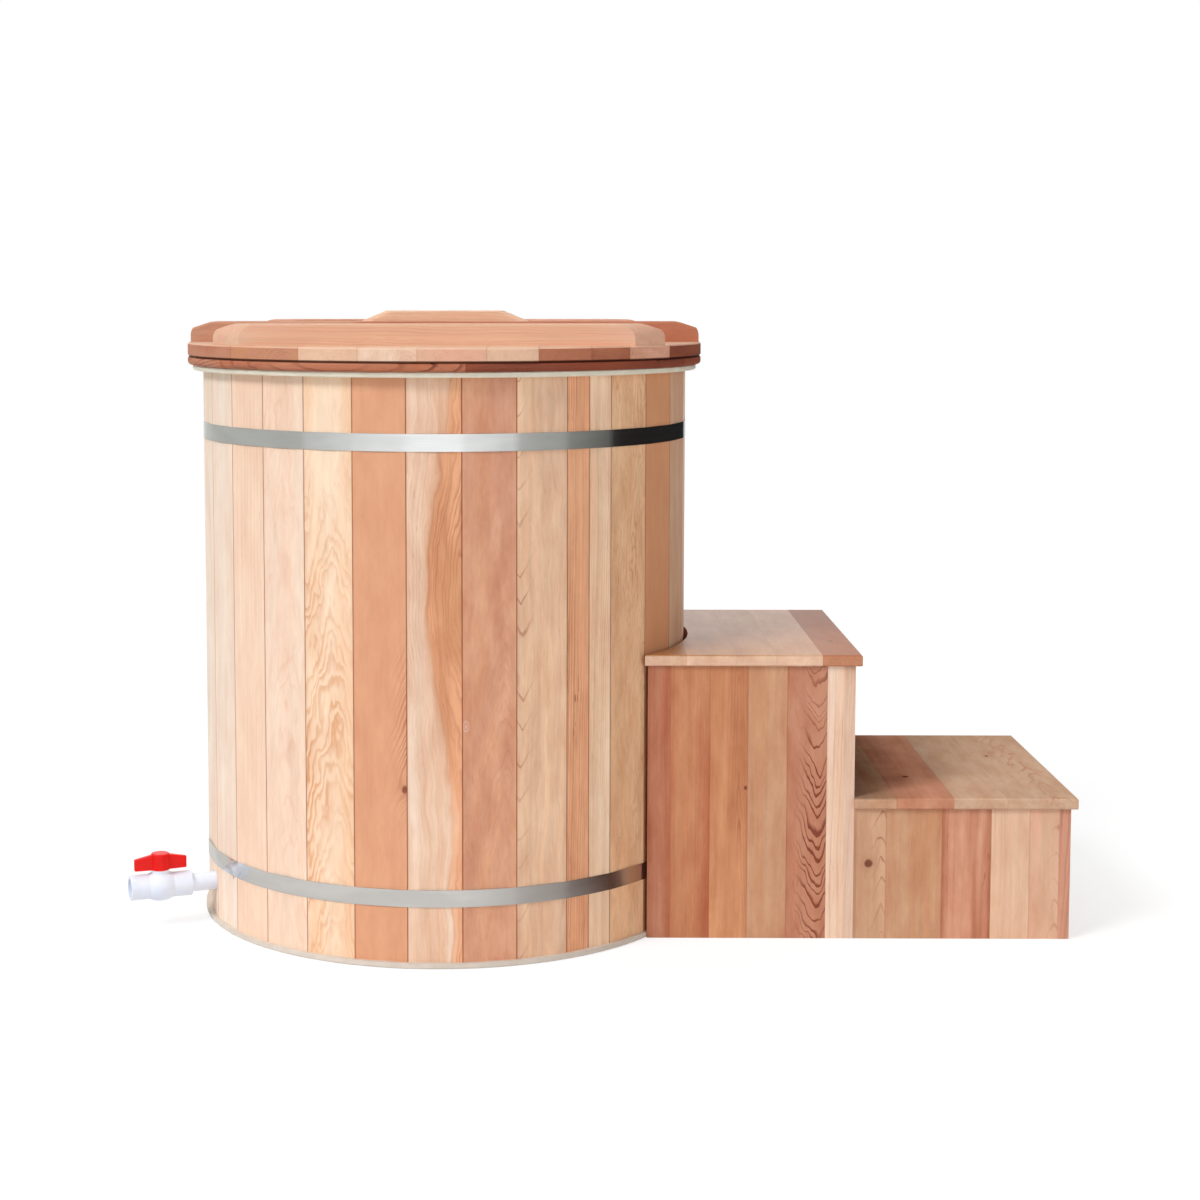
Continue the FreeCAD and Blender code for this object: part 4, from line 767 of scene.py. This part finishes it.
BATTEN_TOP = 1.104
BATTEN_MIDDLES = {"front": -0.294, "middle": 0.0, "back": 0.294}
BATTEN_LOOKS = {
    "front": look("shell", "tan", "rose", 71.0, heart_across=0.1, heart_depth=0.2, ring_width=0.007,
                  figure=0.4, streak=0.3, cloud=0.15),
    "middle": look("russet", "russet", "clay", 72.0, heart_across=0.1, heart_depth=0.1, lean=-0.3,
                   figure=0.2, sap_start=0.18, sap="tan", sap_figure=0.2),
    "back": look("shell", "rose", "russet", 73.0, heart_across=-0.1, heart_depth=0.1, figure=0.35),
}
for name, middle in BATTEN_MIDDLES.items():
    batten_place = board_frame(TOWARDS_FRONT, DOWN, TOWARDS_STEPS, (0, middle, BATTEN_TOP))
    dress([f"lid_batten_{name}"], cedar_boards(f"batten_{name}", batten_place, [BATTEN_LOOKS[name]]))

GRIP_TOP = 1.124
grip_place = board_frame(TOWARDS_FRONT, DOWN, TOWARDS_STEPS, (0, 0, GRIP_TOP))
grip_look = look("biscuit", "biscuit", "rose", 74.0, heart_across=0.08, heart_depth=0.15,
                 ring_width=0.006, figure=0.35)
dress(["lid_grip"], cedar_boards("grip", grip_place, [grip_look]))

# Drain and valve
# A white plastic fitting is clamped through the liner with a nut and a black gasket, and a pipe
# leads to a moulded ball valve with a red winged handle that turns a quarter turn.

pvc_white = plastic("pvc_white", paint(235, 242, 255), paint(230, 238, 255), roughness=0.32)
valve_inside = plastic("valve_inside", paint(226, 228, 232), paint(218, 220, 226), roughness=0.25)
seal_white = plastic("seal_white", paint(240, 240, 236), paint(232, 232, 226), roughness=0.4)
gasket_black = plastic("gasket_black", paint(34, 34, 35), paint(26, 26, 27), roughness=0.6)
handle_red = plastic("handle_red", paint(238, 22, 17), paint(228, 18, 14), roughness=0.34, shine=0.2)
dress(["drain_fitting", "drain_locknut", "drain_pipe", "valve_body"], pvc_white)
dress(["valve_ball", "valve_stem"], valve_inside)
dress(["valve_seals"], seal_white)
dress(["drain_gasket"], gasket_black)
dress(["valve_handle"], handle_red)

# Steps
# Two boxes of glued-up cedar stand side by side: side panels of upright boards, risers over their
# ends, and treads of boards that run from front to back, all on a frame of square cleats inside.

STEP_FRONT = -0.27
UPPER_EDGES = [0.364, 0.412, 0.483, 0.551, 0.621, 0.692, 0.742]
UPPER_LOOKS = [
    look("clay", "copper", "brick", 81.0, figure=0.25, streak=0.3, cloud=0.9),
    look("toffee", "copper", "brick", 82.0, figure=0.15, streak=0.3, cloud=0.9),
    look("honey", "amber", "russet", 83.0, heart_across=0.018, heart_depth=0.004, ring_width=0.005,
         figure=2.0, reach=0.016, late_share=0.2, lean=0.03, wander=0.003, curl=2.0, cloud=0.8,
         knot_across=0.03, knot_along=0.275, knot_size=0.003),
    look("fawn", "toffee", "clay", 84.0, figure=0.2, streak=0.3, cloud=0.8),
    look("clay", "russet", "mahogany", 85.0, heart_across=0.019, heart_depth=0.01, lean=-0.42,
         ring_width=0.01, wander=0.006, curl=5.0, figure=2.2, reach=0.022, late_share=0.2, cloud=0.8),
    look("cream", "biscuit", "clay", 86.0, heart_across=0.2, ring_width=0.008, figure=0.35,
         late_share=0.14, cloud=0.4),
]
LOWER_EDGES = [0.746, 0.8, 0.9, 0.988, 1.057, 1.11, 1.131]
LOWER_LOOKS = [
    look("tan", "fawn", "brick", 91.0, heart_across=0.02, heart_depth=0.004, lean=0.45, ring_width=0.018,
         wander=0.007, curl=4.0, figure=1.0, reach=0.016, late_share=0.1, knot_across=-0.005,
         knot_along=0.137, knot_size=0.0075, knot_stretch=0.9),
    look("fawn", "toffee", "clay", 92.0, figure=0.2, streak=0.3, cloud=0.9),
    look("rose", "russet", "brick", 93.0, heart_across=0.15, ring_width=0.012, figure=0.3, streak=1.4,
         ticks=1.0, cloud=0.8),
    look("tan", "biscuit", "clay", 94.0, heart_across=0.05, ring_width=0.009, figure=0.4,
         late_share=0.15, ticks=1.0),
    look("sand", "shell", "clay", 95.0, heart_across=0.024, heart_depth=0.004, lean=0.45, ring_width=0.02,
         wander=0.007, curl=4.0, figure=0.9, reach=0.012, late_share=0.1),
    look("shell", "rose", "brick", 96.0, figure=0.45, ring_width=0.006),
]
panel_place = board_frame(TOWARDS_STEPS, TOWARDS_BACK, UP, (0, STEP_FRONT, 0))
upper_wood = joined_boards("upper_panels", panel_place, UPPER_EDGES, UPPER_LOOKS, PANEL_JOINT)
lower_wood = joined_boards("lower_panels", panel_place, LOWER_EDGES, LOWER_LOOKS, PANEL_JOINT)
dress(["upper_side_panels"], upper_wood)
dress(["lower_side_panels"], lower_wood)

RISER_EDGES = [-0.27, -0.25, -0.16, -0.07, 0.03, 0.11, 0.19, 0.27]
UPPER_RISER_TONES = [("cream", "biscuit", "clay"), ("tan", "shell", "rose"), ("rose", "clay", "russet"),
                     ("sand", "tan", "rose"), ("toffee", "fawn", "amber"), ("tan", "biscuit", "rose"),
                     ("clay", "russet", "brick")]
LOWER_RISER_TONES = [("shell", "rose", "brick"), ("rose", "sand", "russet"), ("tan", "sand", "rose"),
                     ("toffee", "fawn", "amber"), ("biscuit", "tan", "clay"), ("rose", "clay", "russet"),
                     ("sand", "tan", "rose")]
RISER_FACES = {"upper_riser": 0.742, "lower_riser": 1.13}
RISER_TONES = {"upper_riser": UPPER_RISER_TONES, "lower_riser": LOWER_RISER_TONES}
RISER_SEEDS = {"upper_riser": 101.0, "lower_riser": 121.0}
TOWARDS_TUB = (-1.0, 0.0, 0.0)
for name, reach in RISER_FACES.items():
    riser_place = board_frame(TOWARDS_BACK, TOWARDS_TUB, UP, (reach, 0, 0))
    riser_looks = drawn_looks(RISER_TONES[name], RISER_SEEDS[name], figure=0.35)
    dress([name], joined_boards(name, riser_place, RISER_EDGES, riser_looks, PANEL_JOINT))

UPPER_TREAD_EDGES = [0.36, 0.44, 0.53, 0.6, 0.682, 0.753]
UPPER_TREAD_LOOKS = [
    *(look("tan", "sand", "rose", seed, figure=0.12, cloud=0.7) for seed in (131.0, 132.7, 134.4)),
    look("tan", "tan", "rose", 136.1, figure=0.12, cloud=0.7),
    look("amber", "amber", "clay", 137.8, figure=0.2, cloud=0.7, knot_across=-0.001, knot_along=-0.119,
         knot_size=0.005),
]
LOWER_TREAD_EDGES = [0.742, 0.817, 0.919, 1.015, 1.141]
LOWER_TREAD_LOOKS = [
    look("oat", "fawn", "russet", 151.0, figure=0.15, cloud=0.7),
    look("clay", "rose", "russet", 152.7, figure=0.15, cloud=0.7, knot_across=-0.007, knot_along=-0.102,
         knot_size=0.004),
    look("oat", "oat", "rose", 154.4, figure=0.12, cloud=0.7),
    look("oat", "oat", "russet", 156.1, heart_across=0.03, heart_depth=0.012, lean=0.2, ring_width=0.016,
         wander=0.01, curl=4.0, figure=0.5, reach=0.045, late_share=0.2, cloud=0.7, knot_across=-0.029,
         knot_along=0.078, knot_size=0.004),
]
TREAD_TOPS = {"upper_tread": 0.516, "lower_tread": 0.258}
TREAD_EDGE = 0.003
TREAD_FACE = 0.001
# Painted shadow of the upper step on the lower tread, darkest in the corner under the riser
BLOTCH_WAVES = (14.0, 14.0, 14.0)
BLOTCH_SPREAD = 0.08
SHADOW_FULL = 0.78
SHADOW_END = 0.98
SHADOW_STRENGTH = 0.75
SHADOW_BACK = 0.05
SHADOW_SHARE_FRONT = 0.84
SHADOW_SHARE_BACK = 1.06
LIP_START = -0.1
LIP_END = -0.21
LIP_SHIFT = 0.04
# Painted shade on the upper tread's top face only: darker near the tub, along the front and on the outer
# board
TUB_SHADE_FULL = 0.48
TUB_SHADE_LESS = 0.7
FRONT_SHADE_START = -0.25
FRONT_SHADE_END = 0.08
CORNER_SHADOW_TINT = (0.16, 0.125, 0.11)
OUTER_SHADE_TINT = (0.82, 0.66, 0.45)
FRONT_SHADE_TINT = (0.66, 0.47, 0.25)


def on_tread(tree, height, name):
    """Share of a place's height that is the top face of a tread, not its edges."""
    return ease(tree, height, TREAD_TOPS[name] - TREAD_EDGE, TREAD_TOPS[name] - TREAD_FACE)


def corner_stain(tree, place):
    """Tint of a painted shadow on the lower tread: dark in the corner under the upper riser, fading out.

    The reach is the place's X, plus blotches, plus a shift that draws the shadow back from the front
    lip. The share of painted shadow falls with the reach and grows a little from the front to the back.
    """
    spot = axes_of(tree, place)
    blotches = grain_noise(tree, place, BLOTCH_WAVES)["Fac"]
    reach = sum_of(tree, "ADD", spot["X"], sum_of(tree, "MULTIPLY", blotches, BLOTCH_SPREAD))
    reach = sum_of(tree, "ADD", reach, ease(tree, spot["Y"], LIP_END, LIP_START, LIP_SHIFT, 0.0))
    by_riser = ease(tree, reach, SHADOW_FULL, SHADOW_END, SHADOW_STRENGTH, 0.0)
    to_back = ease(tree, spot["Y"], STEP_FRONT, SHADOW_BACK, SHADOW_SHARE_FRONT, SHADOW_SHARE_BACK)
    share = sum_of(tree, "MULTIPLY", by_riser, to_back)
    share = sum_of(tree, "MULTIPLY", share, on_tread(tree, spot["Z"], "lower_tread"))
    return blend(tree, share, NO_TINT, CORNER_SHADOW_TINT)


def worn_stain(tree, place):
    """Painted shade on the upper tread's top: tan on the outer board, browner at the front by the tub."""
    spot = axes_of(tree, place)
    outer = sum_of(tree, "GREATER_THAN", spot["X"], UPPER_TREAD_EDGES[-2])
    by_tub = ease(tree, spot["X"], TUB_SHADE_FULL, TUB_SHADE_LESS, 1.0, 0.5)
    front = sum_of(tree, "MULTIPLY", by_tub, ease(tree, spot["Y"], FRONT_SHADE_START, FRONT_SHADE_END, 1.0, 0.0))
    tint = blend(tree, front, NO_TINT, FRONT_SHADE_TINT)
    tint = blend(tree, outer, tint, OUTER_SHADE_TINT)
    return blend(tree, on_tread(tree, spot["Z"], "upper_tread"), NO_TINT, tint)


def tread_place(name):
    """Board frame of a tread: its boards lie side by side towards the steps' end and run to the back."""
    return board_frame(TOWARDS_STEPS, DOWN, TOWARDS_BACK, (0, 0, TREAD_TOPS[name]))


# The upper tread's top face carries painted shade near the tub, along the front and on its outer board
upper_tread_wood = joined_boards("upper_tread", tread_place("upper_tread"), UPPER_TREAD_EDGES,
                                 UPPER_TREAD_LOOKS, joint_strength=0.1, stain=worn_stain, shine=0.5,
                                 polish=0.75)
# The lower tread carries a painted shadow in its corner under the upper riser
lower_tread_wood = joined_boards("lower_tread", tread_place("lower_tread"), LOWER_TREAD_EDGES,
                                 LOWER_TREAD_LOOKS, joint_strength=0.15, stain=corner_stain, shine=0.0)
dress(["upper_tread"], upper_tread_wood)
dress(["lower_tread"], lower_tread_wood)

cleat_place = board_frame(TOWARDS_STEPS, TOWARDS_BACK, UP, (0, 0, 0))
cleat_look = look("tan", "rose", "clay", 171.0, half_width=9.0, figure=0.4)
dress(["step_frame"], cedar_boards("step_frame", cleat_place, [cleat_look]))

# Studio
# A white floor that keeps a soft shadow, and three wide lights: from the front left, lower and
# weaker from the front right, and a weak one from above on the left. The wall and the ground of a
# room, in tones that change with the bearing, show only in reflections.

FLOOR_SIZE = 14.0
FLOOR_LEVEL = -0.0006
FLOOR_GREY = (0.82, 0.82, 0.82)
FLOOR_SHADED = (0.36, 0.36, 0.36)
FLOOR_GLOW = 0.72
WHITE = (1.0, 1.0, 1.0)


def floor_piece():
    """Square of floor under the object."""
    square = np.array([(-1, -1, 0), (1, -1, 0), (1, 1, 0), (-1, 1, 0)])
    piece = mesh_piece("floor", square * FLOOR_SIZE / 2 + (0, 0, FLOOR_LEVEL), np.array([(0, 1, 2, 3)]))
    return piece


def bare_material(name):
    """Material with no shader yet."""
    material = bpy.data.materials.new(name)
    material.use_nodes = True
    tree = material.node_tree
    tree.nodes.remove(tree.nodes["Principled BSDF"])
    return material, tree


def seen_rays(tree):
    """1 for what is seen directly, in metal or through glass, and 0 for light that falls on surfaces."""
    rays = add(tree, "LightPath").outputs
    seen = sum_of(tree, "MAXIMUM", rays["Is Camera Ray"], rays["Is Glossy Ray"])
    return sum_of(tree, "MAXIMUM", seen, rays["Is Transmission Ray"])


def floor_material():
    """White floor: seen directly or in metal it glows most of the way to white, and the rest is lit."""
    material, tree = bare_material("floor_white")
    lit = add(tree, "BsdfDiffuse", {"Color": FLOOR_GREY}).outputs[0]
    shaded = add(tree, "BsdfDiffuse", {"Color": FLOOR_SHADED}).outputs[0]
    glow = add(tree, "Emission", {"Color": WHITE, "Strength": FLOOR_GLOW}).outputs[0]
    bright = add(tree, "AddShader", {0: shaded, 1: glow}).outputs[0]
    shown = add(tree, "MixShader", {0: seen_rays(tree), 1: lit, 2: bright}).outputs[0]
    tree.links.new(shown, tree.nodes["Material Output"].inputs["Surface"])
    return material


floor = floor_piece()
floor.data.materials.append(floor_material())


def soft_sun(name, bearing, height, strength, spread):
    """Wide, even light from a bearing and a height above the floor, in degrees."""
    lamp = bpy.data.lights.new(name, "SUN")
    lamp.energy = strength
    lamp.angle = math.radians(spread)
    piece = bpy.data.objects.new(name, lamp)
    rise = math.radians(height)
    to_lamp = Vector(outward(bearing)) * math.cos(rise) + Vector(UP) * math.sin(rise)
    piece.rotation_euler = to_lamp.to_track_quat("Z", "Y").to_euler()
    bpy.context.scene.collection.objects.link(piece)


soft_sun("key", bearing=-50.0, height=40.0, strength=1.8, spread=20.0)
soft_sun("fill", bearing=34.0, height=6.0, strength=1.08, spread=60.0)
soft_sun("top", bearing=-90.0, height=72.0, strength=0.6, spread=35.0)

ROOM_RADIUS = 7.0
ROOM_HEIGHT = 5.0
ROOM_GROUND = 0.0005
ROOM_STEPS = 64


def room_piece():
    """Ground and wall of a room, open above, for reflections only: a profile carried round the tub."""
    profile = np.array([(STAVE_FACE, ROOM_GROUND), (ROOM_RADIUS, ROOM_GROUND), (ROOM_RADIUS, ROOM_HEIGHT)])
    turns = np.linspace(0, 2 * math.pi, ROOM_STEPS, endpoint=False)[:, None]
    corners = np.stack([np.sin(turns) * profile[:, 0], -np.cos(turns) * profile[:, 0],
                        np.ones_like(turns) * profile[:, 1]], axis=2).reshape(-1, 3)
    here = np.arange(ROOM_STEPS)[:, None] * len(profile) + np.arange(len(profile) - 1)
    following = (here + len(profile)) % len(corners)
    faces = np.stack([here, here + 1, following + 1, following], axis=2).reshape(-1, 4)
    piece = mesh_piece("room", corners, faces)
    piece.visible_camera = False
    piece.visible_diffuse = False
    piece.visible_shadow = False
    return piece


WHITE_CARD = paint(250, 250, 250)
GREY_WALL = paint(170, 170, 165)
BLACK_CARD = paint(25, 25, 25)
PALE_GROUND = paint(205, 200, 195)
BROWN_GROUND = paint(80, 55, 45)

# Tones by bearing, in degrees: white behind and ahead, grey at the left and black at the right
WALL_TONES = [
    (-180, WHITE_CARD),
    (-165, WHITE_CARD),
    (-150, GREY_WALL),
    (-70, GREY_WALL),
    (-6, WHITE_CARD),
    (6, WHITE_CARD),
    (40, GREY_WALL),
    (90, BLACK_CARD),
    (155, BLACK_CARD),
    (172, WHITE_CARD),
]

# Pale in front, brown at the right where the steps stand, and grey behind
GROUND_TONES = [
    (-180, GREY_WALL),
    (-60, PALE_GROUND),
    (10, PALE_GROUND),
    (60, BROWN_GROUND),
    (100, BROWN_GROUND),
    (180, GREY_WALL),
]
ROOM_GLOW = 1.6


def room_material(name, tones):
    """Glow of the room's wall or ground, with its tones by bearing round the tub."""
    material, tree = bare_material(name)
    place = axes_of(tree, add(tree, "TexCoord").outputs["Object"])
    bearing = sum_of(tree, "ARCTAN2", place["X"], sum_of(tree, "MULTIPLY", place["Y"], -1.0))
    share = sum_of(tree, "ADD", sum_of(tree, "DIVIDE", bearing, 2 * math.pi), 0.5)
    ramp = add(tree, "ValToRGB", {0: share})
    points = ramp.color_ramp.elements
    while len(points) < len(tones):
        points.new(0.5)
    for point, (degrees, tone) in zip(points, tones):
        point.position = degrees / 360 + 0.5
        point.color = (*tone, 1.0)
    glow = add(tree, "Emission", {"Color": ramp.outputs[0], "Strength": ROOM_GLOW}).outputs[0]
    tree.links.new(glow, tree.nodes["Material Output"].inputs["Surface"])
    return material


room = room_piece()
room.data.materials.append(room_material("ground_glow", GROUND_TONES))
room.data.materials.append(room_material("wall_glow", WALL_TONES))
room.data.polygons.foreach_set("material_index", np.arange(len(room.data.polygons)) % 2)


def white_world(ambient):
    """World that is white to the camera and to metal, and lights the object evenly and more weakly."""
    world = bpy.data.worlds.new("white_world")
    bpy.context.scene.world = world
    world.use_nodes = True
    tree = world.node_tree
    back = tree.nodes["Background"].inputs
    feed(tree, back["Color"], WHITE)
    strength = add(tree, "Mix", {0: seen_rays(tree), 2: ambient, 3: 1.0}).outputs[0]
    feed(tree, back["Strength"], strength)


white_world(ambient=0.28)

# Camera
# Four metres in front, a little above the lid and to the right of the tub's middle, as in the
# photograph. It looks down a little, and the lens shift does the rest of the framing.

CAMERA_PLACE = (0.181, -4.092, 1.162)
CAMERA_DOWN = 5.0
CAMERA_TURN = 0.58

camera = bpy.data.cameras.new("camera")
camera.lens = 65.04
camera.sensor_width = 36.0
camera.shift_x = 0.0673
camera.shift_y = -0.1
camera_piece = bpy.data.objects.new("camera", camera)
camera_piece.location = CAMERA_PLACE
camera_piece.rotation_euler = (math.radians(90 - CAMERA_DOWN), 0.0, math.radians(CAMERA_TURN))
bpy.context.scene.collection.objects.link(camera_piece)
bpy.context.scene.camera = camera_piece
bpy.context.scene.view_settings.view_transform = "Standard"
